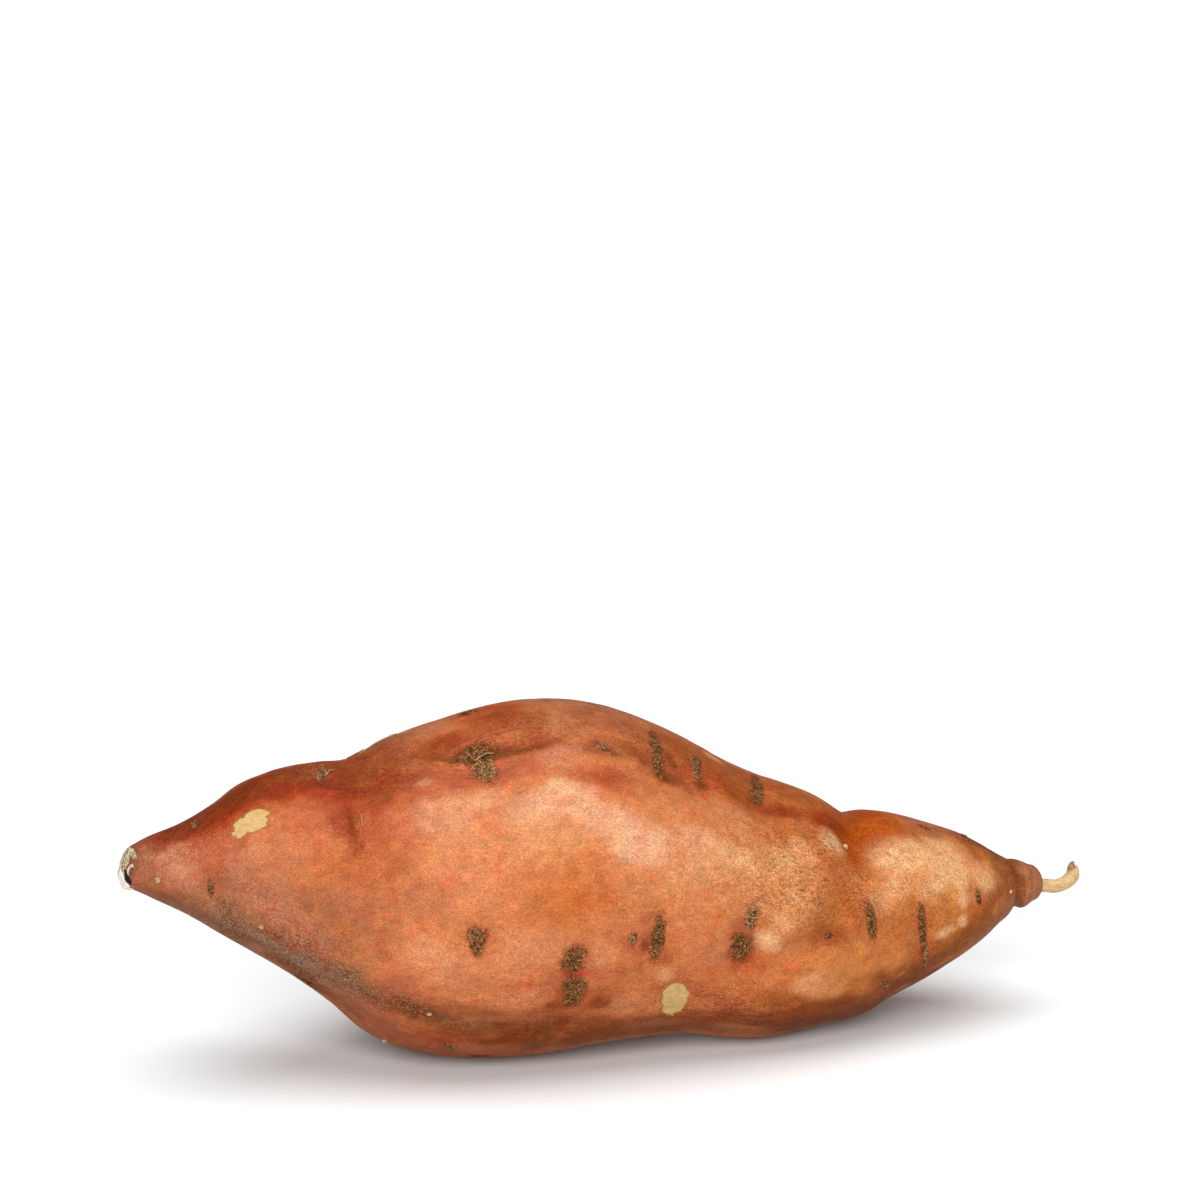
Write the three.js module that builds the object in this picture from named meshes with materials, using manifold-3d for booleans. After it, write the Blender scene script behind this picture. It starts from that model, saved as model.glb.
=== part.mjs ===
// A sweet potato: one storage root, grown in one piece and lying on its side.
// It tapers from a broken stem end at -X to a ringed neck at +X, where the stub of its
// tail root is still on. Corky scars mark where side roots grew.
// Units are millimetres, +Z is up, and the root lies along X on the plane Z = 0.
// Round the root, an angle of 0 is the top, 90 the front (-Y), 180 the underside and 270 the back.

import * as THREE from "three";
import { mergeVertices } from "three/addons/utils/BufferGeometryUtils.js";
import Module from "manifold-3d";

const wasm = await Module();
wasm.setup();

// Driving dimensions of the body: where each cross-section lies and how far it reaches.
const SECTIONS = [
  // x, top, bottom, front, back
  [-104, 48.5, 41.5, -7.5, 1],
  [-100, 50.5, 39, -9.5, 3],
  [-92, 53, 34.5, -13, 7],
  [-86, 56, 30.5, -16.5, 11],
  [-80, 59.5, 26.5, -19.5, 15.5],
  [-74, 61.5, 22.5, -22, 19],
  [-62, 63, 13.5, -27, 25],
  [-56, 63.5, 8, -29.5, 28],
  [-50, 66, 4, -32, 30.5],
  [-36, 70, -0.5, -35.5, 34.8],
  [-20, 73, -1, -36.5, 36.2],
  [-4, 72, 1, -36.5, 35.7],
  [12, 66, 1.5, -34.5, 35],
  [28, 57, -0.9, -31.5, 33],
  [44, 50.5, 1, -28, 30],
  [50, 47.5, 1.5, -25.5, 28],
  [53, 46, 2, -24, 27],
  [58, 45.5, 4.5, -22.5, 26],
  [70, 42.5, 9.5, -18, 21.5],
  [82, 37.5, 16, -12, 15.5],
  [86, 35, 19.5, -8.5, 12],
  [88.5, 33.4, 21, -6, 9.5],
  [90, 32.8, 21.6, -5, 8.8],
  [93, 32, 21.8, -4, 7.8],
  [95, 31, 23, -2.8, 6.6],
];
const STEM_END_X = -105.9;
const STEM_END_BLUNTNESS = 2.6;
const NECK_END_X = 97.6;
const CORE_HEIGHT = 35;

// Shallow ribs that run along the whole root: share of the radius, count round it,
// starting angle in radians, and turn in radians for each millimetre along.
const RIBS = [
  [0.016, 3, -0.5, -0.012],
  [0.01, 4, 1.3, 0.02],
  [0.008, 5, 0.4, -0.03],
  [0.004, 7, 2.0, 0.05],
];

// Soft swellings and, where the height is negative, dents.
const SWELLS = [
  // x, angle, half-length along, half-length round, height
  [-24, 10, 15, 8, 0.9],
  [-12, 62, 26, 18, 0.8],
  [30, 70, 11, 10, 1.5],
  [60, 28, 9, 9, 0.7],
  [-72, 30, 12, 12, 0.6],
  [-58, 44, 2.6, 5, -0.9],
  [-54.5, 44, 2.2, 5, 0.4],
  [-33, 28, 7, 7, -1.3],
  [-17.7, 108, 5.5, 9, -1.3],
  [-0.4, 97, 3.8, 9, -1.4],
  [19, 92, 4.5, 10, -1.4],
  [49.3, 79, 3.5, 6, -0.7],
  [62, 96, 3.2, 9, -0.9],
  [-38, 92, 5, 5, -0.8],
  [4.6, 29, 4.5, 8, -0.9],
  [13.7, 28, 3.5, 5, -0.6],
  [27.7, 22, 4.5, 6, -0.9],
  [5, 126, 9, 8, -0.9],
  [-30, 292, 22, 15, 1.2],
  [10, 250, 12, 13, -1.8],
  [42, 298, 12, 9, 1.3],
  [-62, 262, 9, 15, -1.7],
  [0, 322, 17, 6, -1.2],
  [22, 214, 12, 9, -1.0],
  [-42, 222, 10, 10, 1.0],
];

// Creases: the half-width and depth of each, then the [x, angle] points that it runs through.
const crease = (halfWidth, depth, ...line) => ({ halfWidth, depth, line });
const CREASES = [
  crease(3.4, 1.5, [-46, 8], [-36, 25], [-28, 28], [-20, 23], [-12, 14], [-4, 4]),
  crease(4.4, 1.1, [-18, 37], [-6, 44], [5, 40], [17, 36], [27, 32], [37, 34], [46, 41]),
  crease(4.2, 1.5, [53, -35], [52, 3], [49.5, 25], [47, 48], [43, 74], [36, 92], [26, 101], [14, 110]),
  crease(6.5, 1.1, [-56, -30], [-56, 15], [-58, 43], [-55, 70], [-51, 98]),
  crease(5, 0.7, [-60, 118], [-40, 126], [-16, 132], [6, 140]),
  crease(5, 1.4, [-48, 330], [-44, 290], [-50, 250], [-58, 225]),
  crease(4, 1.5, [50, 300], [47, 270], [52, 235], [60, 215]),
  crease(4.5, 1.1, [-10, 236], [14, 242], [34, 256]),
];

// Scars of side roots that show from the front and top: each a corky pad.
const SEEN_SCARS = [
  // x, angle, half-length round the root, half-width along it, lean in degrees
  [-33.3, 28, 5.6, 3.0, -8],
  [-64.3, 14, 1.9, 1.3, 0],
  [-88.9, 92, 2.0, 0.9, 5],
  [-90.8, 20, 1.6, 1.3, 0],
  [-6.6, 30, 2.4, 1.5, -35],
  [4.6, 29, 6.6, 1.6, -10],
  [13.7, 28, 3.6, 1.3, -8],
  [27.7, 22, 4.6, 1.4, -6],
  [-38.3, 92, 2.6, 2.4, 0],
  [-17.7, 107, 6.8, 3.0, 4],
  [-0.4, 97, 5.2, 1.3, 8],
  [20.2, 84, 2.8, 1.4, 14],
  [18.3, 98, 3.2, 2.2, 8],
  [49.3, 79, 3.8, 1.4, -10],
  [62.1, 94, 6.4, 1.2, -2],
  [76.7, 78, 2.0, 0.9, -6],
  [68.4, 17, 1.3, 2.0, 0],
  [78.7, 12, 1.2, 2.2, 0],
  [52.9, 119, 2.6, 1.2, -12],
  [-31.4, 358, 1.6, 2.6, 0],
  [-55.7, 353, 1.5, 2.4, 0],
];

// Scars on the sides that the first list leaves bare, placed by a seeded draw.
const HIDDEN_SCARS = {
  count: 16,
  seed: 4,
  x: [-84, 74],
  angle: [205, 345],
  halfLength: [1.8, 5.2],
  halfWidth: [1.1, 2.2],
  lean: [-14, 14],
  apart: 11,
};
const SCAR = {
  seed: 11,
  sides: 8,
  raggedness: 0.22,
  sunk: 1.5,
  rim: 0.2,
  crown: 0.6,
  rootShare: 0.8,
  crownShare: 0.55,
};

// The stub of the tail root. It leaves the neck level and turns up at its broken tip.
const TAIL = {
  y: 2,
  line: [
    // x, z, radius
    [93, 26.9, 1.5],
    [98.5, 26.5, 1.45],
    [102, 26.3, 1.3],
    [104.6, 27.4, 1.45],
    [105.5, 29.6, 1.5],
    [105.8, 31.4, 1.05],
    [106.2, 32.6, 0.4],
  ],
  sides: 9,
  steps: 16,
};

// The dried end of the stem: a ragged collar round the blunt end, and the split beside it.
const STEM = {
  seed: 23,
  sides: 12,
  radius: 3.6,
  centre: [-3.2, 44.6],
  raggedness: 0.16,
  rings: [
    // x, share of the radius, how much of the torn edge shows
    [-101, 0.7, 0],
    [-104.6, 1, 0],
    [-106.6, 0.82, 0.9],
    [-106, 0.5, 0.9],
  ],
};
const SPLIT = { at: [-106, -6.2, 42.4], size: [2.6, 1.1, 2.6], leanDeg: 40, segments: 10 };

// The body's grid: its sides crowd together round one angle, where the creases are.
const BODY_RINGS = 84;
const BODY_SIDES = 44;
const CROWDED_ANGLE = 35;
const CROWDING = 22;
const OUTLINE_SAMPLES = 2000;

// Least radius that relief and scars are measured with, so that they stay small at the tips.
const LEAST_RADIUS = 6;
const SKIN_COLOUR = 0xc4683f;

const radians = THREE.MathUtils.degToRad;

// Repeatable random numbers from 0 to 1.
function seededDraw(seed) {
  let state = seed;
  return () => {
    state = (state * 16807) % 2147483647;
    return state / 2147483647;
  };
}

// A ring's radii, each a little off 1.
function raggedReach(sides, raggedness, draw) {
  return Array.from({ length: sides }, () => 1 + raggedness * (2 * draw() - 1));
}

// Smooth curve through the sections' values in one column, at x.
function sectionValue(column, x) {
  const last = SECTIONS.length - 1;
  const rise = (i) => (SECTIONS[i + 1][column] - SECTIONS[i][column]) / (SECTIONS[i + 1][0] - SECTIONS[i][0]);
  const gap = (i) => SECTIONS[i + 1][0] - SECTIONS[i][0];
  const slope = (i) => {
    if (i === 0) return rise(0);
    if (i === last) return rise(last - 1);
    return (rise(i) * gap(i - 1) + rise(i - 1) * gap(i)) / (gap(i) + gap(i - 1));
  };
  let i = 0;
  while (i < last - 1 && x > SECTIONS[i + 1][0]) i += 1;
  const h = gap(i);
  const t = THREE.MathUtils.clamp((x - SECTIONS[i][0]) / h, 0, 1);
  const s = 1 - t;
  return (
    SECTIONS[i][column] * (1 + 2 * t) * s * s +
    slope(i) * h * t * s * s +
    SECTIONS[i + 1][column] * t * t * (3 - 2 * t) -
    slope(i + 1) * h * t * t * s
  );
}

// 1 along the body, falling to 0 at the blunt stem end and the round neck.
function endRounding(x) {
  const first = SECTIONS[0][0];
  const last = SECTIONS[SECTIONS.length - 1][0];
  const left = THREE.MathUtils.clamp((first - x) / (first - STEM_END_X), 0, 1);
  const right = THREE.MathUtils.clamp((x - last) / (NECK_END_X - last), 0, 1);
  return (1 - left ** STEM_END_BLUNTNESS) ** (1 / STEM_END_BLUNTNESS) * Math.sqrt(1 - right * right);
}

// The shorter way round from one angle to another, in millimetres at that radius.
function arcBetween(degrees, fromDegrees, radius) {
  const turn = ((((degrees - fromDegrees + 180) % 360) + 360) % 360) - 180;
  return radians(turn) * radius;
}

// How deep a crease is at a point: 1 on its line, less with the distance and towards its ends.
function creaseShare({ line, halfWidth }, x, degrees, radius) {
  const turn = (p, i) => radians(p[1] - line[i][1]) * radius;
  const lengths = line.slice(1).map((p, i) => Math.hypot(p[0] - line[i][0], turn(p, i)));
  const total = lengths.reduce((sum, length) => sum + length, 0);
  let nearest = Infinity;
  let along = 0;
  let run = 0;
  lengths.forEach((length, i) => {
    const dx = line[i + 1][0] - line[i][0];
    const da = turn(line[i + 1], i);
    const ux = x - line[i][0];
    const ua = arcBetween(degrees, line[i][1], radius);
    const t = THREE.MathUtils.clamp((ux * dx + ua * da) / (dx * dx + da * da), 0, 1);
    const distance = Math.hypot(ux - t * dx, ua - t * da);
    if (distance < nearest) {
      nearest = distance;
      along = (run + t * length) / total;
    }
    run += length;
  });
  return Math.exp(-((nearest / halfWidth) ** 2)) * Math.sqrt(Math.sin(Math.PI * along));
}

// The root's surface at x along it and an angle round it, in degrees.
function surfacePoint(x, degrees) {
  const a = radians(degrees);
  const [top, bottom, front, back] = [1, 2, 3, 4].map((column) => sectionValue(column, x));
  const rounding = endRounding(x);
  const y = -((back - front) / 2) * Math.sin(a) * rounding;
  const z = ((top - bottom) / 2) * Math.cos(a) * rounding;
  const radius = Math.max(Math.hypot(y, z), LEAST_RADIUS);
  let relief = 0;
  for (const [sx, angle, along, round, height] of SWELLS) {
    const [u, v] = [(x - sx) / along, arcBetween(degrees, angle, radius) / round];
    relief += height * Math.exp(-u * u - v * v);
  }
  for (const groove of CREASES) relief -= groove.depth * creaseShare(groove, x, degrees, radius);
  let scale = 1 + (relief / radius) * rounding;
  for (const [share, count, start, turn] of RIBS) scale += share * Math.cos(count * a + start + turn * x);
  return new THREE.Vector3(x, (front + back) / 2 + y * scale, Math.max((top + bottom) / 2 + z * scale, 0));
}

// A point that stands a height above the surface, or below it where the height is negative.
function raisedPoint(x, degrees, height) {
  const step = 0.5;
  const along = surfacePoint(x + step, degrees).sub(surfacePoint(x - step, degrees));
  const round = surfacePoint(x, degrees + step).sub(surfacePoint(x, degrees - step));
  const out = round.cross(along).normalize();
  return surfacePoint(x, degrees).addScaledVector(out, height);
}

// A closed solid whose skin passes through rings of points, with a fan over each end.
function loft(rings) {
  const sides = rings[0].length;
  const centre = (ring) => ring.reduce((sum, p) => sum.add(p), new THREE.Vector3()).divideScalar(sides);
  const points = [...rings.flat(), centre(rings[0]), centre(rings[rings.length - 1])];
  const [startPole, endPole] = [points.length - 2, points.length - 1];
  const faces = [];
  for (let k = 0; k < sides; k += 1) {
    const next = (k + 1) % sides;
    faces.push(startPole, next, k);
    for (let i = 0; i < rings.length - 1; i += 1) {
      const [a, b] = [i * sides + k, i * sides + next];
      faces.push(a, b, b + sides, a, b + sides, a + sides);
    }
    const lastRing = (rings.length - 1) * sides;
    faces.push(endPole, lastRing + k, lastRing + next);
  }
  const made = new wasm.Manifold(
    new wasm.Mesh({
      numProp: 3,
      vertProperties: new Float32Array(points.flatMap((p) => p.toArray())),
      triVerts: new Uint32Array(faces),
    }),
  );
  return made.volume() < 0 ? loft([...rings].reverse()) : made;
}

// Places along x for the body's rings, evenly spaced along its outline.
function ringPlaces(count) {
  const outline = Array.from({ length: OUTLINE_SAMPLES + 1 }, (_, i) => {
    const share = (1 - Math.cos((Math.PI * i) / OUTLINE_SAMPLES)) / 2;
    const x = THREE.MathUtils.lerp(STEM_END_X, NECK_END_X, share);
    return new THREE.Vector2(x, ((sectionValue(1, x) - sectionValue(2, x)) / 2) * endRounding(x));
  });
  const reach = [0];
  for (let i = 1; i <= OUTLINE_SAMPLES; i += 1) {
    reach.push(reach[i - 1] + outline[i].distanceTo(outline[i - 1]));
  }
  return Array.from({ length: count }, (_, k) => {
    const wanted = (reach[OUTLINE_SAMPLES] * (k + 0.5)) / count;
    const i = reach.findIndex((r) => r >= wanted);
    const t = (wanted - reach[i - 1]) / (reach[i] - reach[i - 1]);
    return THREE.MathUtils.lerp(outline[i - 1].x, outline[i].x, t);
  });
}

// The whole root without what grows on it.
function body() {
  const angles = Array.from({ length: BODY_SIDES }, (_, k) => {
    const even = (360 * k) / BODY_SIDES;
    return even - CROWDING * Math.sin(radians(even - CROWDED_ANGLE));
  });
  return loft(ringPlaces(BODY_RINGS).map((x) => angles.map((angle) => surfacePoint(x, angle))));
}

// A corky pad with a ragged outline, low and domed, with its root sunk into the skin.
function scarPad([x, degrees, halfLength, halfWidth, lean], draw) {
  const reach = raggedReach(SCAR.sides, SCAR.raggedness, draw);
  const middle = surfacePoint(x, degrees);
  const radius = Math.max(Math.hypot(middle.y, middle.z - CORE_HEIGHT), LEAST_RADIUS);
  const centre = new THREE.Vector2();
  const place = new THREE.Vector2();
  const ring = (share, height) =>
    reach.map((r, k) => {
      const turn = (2 * Math.PI * k) / SCAR.sides;
      place.set(Math.cos(turn) * halfLength, Math.sin(turn) * halfWidth).multiplyScalar(r * share);
      place.rotateAround(centre, radians(lean));
      return raisedPoint(x + place.y, degrees + THREE.MathUtils.radToDeg(place.x / radius), height);
    });
  return loft([ring(SCAR.rootShare, -SCAR.sunk), ring(1, SCAR.rim), ring(SCAR.crownShare, SCAR.crown)]);
}

// Scars for the hidden sides, kept apart from each other.
function drawHiddenScars() {
  const { count, seed, x, angle, halfLength, halfWidth, lean, apart } = HIDDEN_SCARS;
  const draw = seededDraw(seed);
  const between = ([low, high]) => THREE.MathUtils.lerp(low, high, draw());
  const placed = [];
  while (placed.length < count) {
    const scar = [x, angle, halfLength, halfWidth, lean].map(between);
    const at = surfacePoint(scar[0], scar[1]);
    if (placed.every((other) => surfacePoint(other[0], other[1]).distanceTo(at) > apart)) placed.push(scar);
  }
  return placed;
}

function scars() {
  const draw = seededDraw(SCAR.seed);
  return [...SEEN_SCARS, ...drawHiddenScars()].map((scar) => scarPad(scar, draw));
}

// The tail root, as rings of points square to its centre line.
function tailRoot() {
  const curve = new THREE.CatmullRomCurve3(TAIL.line.map(([x, z]) => new THREE.Vector3(x, TAIL.y, z)));
  const across = new THREE.Vector3(0, 1, 0);
  const rings = Array.from({ length: TAIL.steps + 1 }, (_, i) => {
    const t = i / TAIL.steps;
    const place = t * (TAIL.line.length - 1);
    const k = Math.min(Math.floor(place), TAIL.line.length - 2);
    const radius = THREE.MathUtils.lerp(TAIL.line[k][2], TAIL.line[k + 1][2], place - k);
    const up = new THREE.Vector3().crossVectors(curve.getTangent(t), across).normalize();
    return Array.from({ length: TAIL.sides }, (_, side) => {
      const turn = (2 * Math.PI * side) / TAIL.sides;
      return curve
        .getPoint(t)
        .addScaledVector(across, Math.cos(turn) * radius)
        .addScaledVector(up, Math.sin(turn) * radius);
    });
  });
  return loft(rings);
}

// The stem's dried collar, with a ragged broken edge.
function stemCollar() {
  const draw = seededDraw(STEM.seed);
  const reach = raggedReach(STEM.sides, STEM.raggedness, draw);
  const torn = Array.from({ length: STEM.sides }, (_, k) => (k === 0 ? 0 : draw()));
  const rings = STEM.rings.map(([x, share, tear]) =>
    reach.map((r, k) => {
      const turn = (2 * Math.PI * k) / STEM.sides;
      const [y, z] = [Math.sin(turn), Math.cos(turn)].map((v) => v * STEM.radius * r * share);
      return new THREE.Vector3(x + tear * torn[k], STEM.centre[0] + y, STEM.centre[1] + z);
    }),
  );
  return loft(rings);
}

// The dark split between the stem's dried flap and the skin, as a slanting lens to cut away.
function stemSplit() {
  const lens = new THREE.SphereGeometry(1, SPLIT.segments, SPLIT.segments);
  lens.scale(...SPLIT.size);
  lens.rotateX(radians(SPLIT.leanDeg));
  lens.translate(...SPLIT.at);
  lens.deleteAttribute("normal");
  lens.deleteAttribute("uv");
  const merged = mergeVertices(lens);
  return new wasm.Manifold(
    new wasm.Mesh({
      numProp: 3,
      vertProperties: merged.attributes.position.array,
      triVerts: new Uint32Array(merged.index.array),
    }),
  );
}

// The body with its tail root, stem end and scars, as one closed skin.
function sweetPotatoGeometry() {
  let solid = body().add(tailRoot()).add(stemCollar()).subtract(stemSplit());
  for (const pad of scars()) solid = solid.add(pad);
  const { vertProperties, triVerts } = solid.getMesh();
  const geometry = new THREE.BufferGeometry();
  geometry.setAttribute("position", new THREE.BufferAttribute(vertProperties, 3));
  geometry.setIndex(new THREE.BufferAttribute(triVerts, 1));
  geometry.computeVertexNormals();
  return geometry;
}

const skin = new THREE.MeshStandardMaterial({ color: SKIN_COLOUR, roughness: 0.55, metalness: 0 });
const root = new THREE.Mesh(sweetPotatoGeometry(), skin);
root.name = "sweet_potato";

const sweetPotato = new THREE.Group();
sweetPotato.add(root);

export default sweetPotato;
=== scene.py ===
"""The looks of a sweet potato: its skin, corky scars, peeled spots, stem end, tail root and rootlets.

Sizes are millimetres until a mesh is written, which is in metres. Round the root, an angle of 0 is the
top, 90 the front, 180 the underside and 270 the back.
"""

import logging
import math
from dataclasses import dataclass, field, replace
from enum import Enum
from itertools import product
from typing import Callable, Sequence

import bpy
import numpy as np
from mathutils import Matrix, Vector

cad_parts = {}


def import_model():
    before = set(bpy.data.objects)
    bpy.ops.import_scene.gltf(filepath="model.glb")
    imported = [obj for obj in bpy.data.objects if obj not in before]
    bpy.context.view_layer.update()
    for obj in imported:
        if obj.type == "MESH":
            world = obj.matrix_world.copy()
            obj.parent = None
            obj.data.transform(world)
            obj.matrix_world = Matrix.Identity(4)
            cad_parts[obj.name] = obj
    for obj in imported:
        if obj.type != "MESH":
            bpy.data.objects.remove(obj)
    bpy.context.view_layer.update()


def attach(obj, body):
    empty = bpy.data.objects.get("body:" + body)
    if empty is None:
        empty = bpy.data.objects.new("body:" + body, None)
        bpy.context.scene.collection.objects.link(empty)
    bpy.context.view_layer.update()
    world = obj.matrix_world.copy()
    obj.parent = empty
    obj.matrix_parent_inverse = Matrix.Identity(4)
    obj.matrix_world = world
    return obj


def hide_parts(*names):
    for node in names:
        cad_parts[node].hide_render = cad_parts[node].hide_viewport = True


MM = 0.001
ROOT_NODE = "sweet_potato"
BODY = "root"
LOG = logging.getLogger("sweet_potato")

Array = np.ndarray
Colour = tuple[float, float, float]
Row = tuple[float, float, float, float, float]
Faces = list[tuple[int, ...]]
Socket = bpy.types.NodeSocket
Material = bpy.types.Material
Piece = bpy.types.Object


class Tone(Enum):
    """A colour of the skin, in linear light. Some also serve as painted highlights or painted shade."""

    ORANGE = (0.43, 0.137, 0.047)
    DEEP_ORANGE = (0.38, 0.104, 0.026)
    SALMON = (0.45, 0.158, 0.068)
    PEACH = (0.47, 0.187, 0.078)
    # rose: a pinkish skin colour, also used on the upper front as a painted highlight
    ROSE_AND_SHEEN = (0.48, 0.225, 0.12)
    BLUSH = (0.35, 0.121, 0.064)
    CORAL = (0.34, 0.079, 0.034)
    RED = (0.3, 0.063, 0.022)
    BRICK = (0.25, 0.047, 0.014)
    CRIMSON = (0.25, 0.03, 0.003)
    # maroon and rust: dark reds, laid along the top partly as painted shade
    MAROON = (0.14, 0.024, 0.002)
    RUST = (0.2, 0.035, 0.004)
    # sienna: an orange-brown, also painted shade along the waist's crease
    SIENNA = (0.31, 0.074, 0.022)
    RUSSET = (0.25, 0.063, 0.018)
    # mahogany: a dark brown, also painted shade in creases, in dents by the scars and underneath
    MAHOGANY_AND_SHADE = (0.21, 0.045, 0.009)
    # umber and bark: dark browns, laid along the bottom partly as painted shade
    UMBER = (0.15, 0.032, 0.002)
    BARK = (0.15, 0.043, 0.006)
    CLAY = (0.26, 0.08, 0.03)
    # dusty: a greyish brown, also a painted grey sheen along the top edge
    DUSTY_AND_SHEEN = (0.27, 0.1, 0.046)
    DUST = (0.2, 0.083, 0.041)
    ASH = (0.22, 0.112, 0.068)
    TERRA = (0.29, 0.052, 0.01)
    TAWNY = (0.27, 0.068, 0.012)
    AMBER = (0.27, 0.044, 0.001)
    DARK_AMBER = (0.19, 0.022, 0.001)
    # bronze: a dark brown, laid along the right lobe's bottom partly as painted shade
    BRONZE = (0.22, 0.056, 0.002)
    OCHRE = (0.36, 0.11, 0.023)
    GOLD = (0.44, 0.158, 0.039)
    HONEY = (0.46, 0.2, 0.073)
    # straw: pale rubbed skin, also painted highlights on the front and the right
    STRAW_AND_SHEEN = (0.54, 0.29, 0.14)
    BISQUE = (0.34, 0.12, 0.049)
    # flush: the dark red round each scar, partly painted shade in the scar's dent
    FLUSH = (0.27, 0.05, 0.02)
    SCARLET = (0.33, 0.045, 0.022)
    GARNET = (0.175, 0.021, 0.004)
    # cocoa: painted shade in creases, in dents by the scars, in the neck's groove and along the bottom
    COCOA_SHADE = (0.15, 0.038, 0.008)
    MAUVE = (0.23, 0.089, 0.039)
    # pink: a painted highlight, the soft sheen on the upper front
    PINK_SHEEN = (0.56, 0.3, 0.19)
    TOPAZ = (0.32, 0.062, 0.0015)


Coat = tuple[tuple[Tone, tuple[Row, ...]], ...]


class Side(Enum):
    """A side of the root's outline, with the name of the section's field."""

    TOP = "top"
    BOTTOM = "bottom"
    FRONT = "front"
    BACK = "back"


class Lay(Enum):
    """How one colour is laid over another."""

    COVER = "MIX"
    TINT = "MULTIPLY"


@dataclass(frozen=True)
class Section:
    """Where the root's outline lies at one place along it."""

    x: float
    top: float
    bottom: float
    front: float
    back: float


@dataclass(frozen=True)
class Rib:
    """A shallow wave round the root: share of the radius, count, starting angle and turn for each mm."""

    share: float
    count: int
    start: float
    turn: float


@dataclass(frozen=True)
class Swell:
    """A soft bump or, where the height is negative, a dent."""

    x: float
    angle: float
    along: float
    round: float
    height: float


@dataclass(frozen=True)
class Crease:
    """A groove that runs through (x, angle) points."""

    half_width: float
    depth: float
    line: tuple[tuple[float, float], ...]


@dataclass(frozen=True)
class Patch:
    """A soft-edged patch of one tone on the skin: its place, half sizes along and round, and strength.

    wander is how much of the skin's drift its outline follows, and edge how sharply it ends.
    """

    tone: Tone
    x: float
    angle: float
    along: float
    round: float
    strength: float = 1.0
    wander: float = 1.0
    edge: float = 1.3


@dataclass(frozen=True)
class Spot:
    """A scar or a peeled spot: its place, half its length round the root and half its width along it.

    lean is how far its top leans towards the tail in degrees, taper how much narrower its lower end
    is, pale how much of it is light, and lift how far it stands out in mm.
    """

    x: float
    angle: float
    round: float
    along: float
    lean: float = 0.0
    taper: float = 0.0
    pale: float = 0.0
    lift: float = 0.26


def arc(angle: Array, from_angle: float, radius: Array) -> Array:
    """Measures the shorter way round from one angle to another.

    Args:
        angle: angles in degrees.
        from_angle: the angle that they are measured from.
        radius: the radius at each angle, in mm.

    Returns:
        The signed distance round the root, in mm.
    """
    return np.radians((angle - from_angle + 180) % 360 - 180) * radius


def soft_step(value: Array, low: float, high: float) -> Array:
    """Rises smoothly from 0 at low to 1 at high.

    Args:
        value: the values to step.
        low: where the step starts.
        high: where it ends.

    Returns:
        The stepped values, from 0 to 1.
    """
    t = np.clip((value - low) / (high - low), 0, 1)
    return t * t * (3 - 2 * t)


def turns(sides: int) -> Array:
    """Gives the angle of each point of a ring, in radians."""
    return np.arange(sides) * 2 * np.pi / sides


def directions(line: Array) -> Array:
    """Gives a line's direction at each of its points, with a length of 1."""
    tangent = np.gradient(line, axis=0)
    return tangent / np.linalg.norm(tangent, axis=1, keepdims=True)


def toward(azimuth: float, elevation: float) -> Vector:
    """Gives the direction from the root to a place round it.

    Args:
        azimuth: how far round it lies, in degrees, from 0 in front.
        elevation: how high it stands, in degrees.

    Returns:
        The direction, with a length of 1.
    """
    around, height = math.radians(azimuth), math.radians(elevation)
    level = math.cos(height)
    return Vector((math.sin(around) * level, -math.cos(around) * level, math.sin(height)))


class Unevenness:
    """Smooth repeatable noise in space, from -1 to 1."""

    def __init__(self, seed: int, cells: int = 32) -> None:
        """Draws the values that the noise runs through.

        Args:
            seed: the draw's seed.
            cells: how many cells along each side before the noise repeats.
        """
        self.cells = cells
        self.values = np.random.default_rng(seed).uniform(-1, 1, (cells, cells, cells))

    def at(self, points: Array, size: float) -> Array:
        """Reads the noise at points.

        Args:
            points: places in mm, in the last axis.
            size: how far apart its bumps are, in mm.

        Returns:
            One value for each point.
        """
        cell = points / size
        base = np.floor(cell).astype(int)
        t = cell - base
        t = t * t * (3 - 2 * t)
        total = np.zeros(points.shape[:-1])
        for corner in product((0, 1), repeat=3):
            index = (base + corner) % self.cells
            weight = np.prod(np.where(corner, t, 1 - t), axis=-1)
            total += weight * self.values[index[..., 0], index[..., 1], index[..., 2]]
        return total


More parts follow.
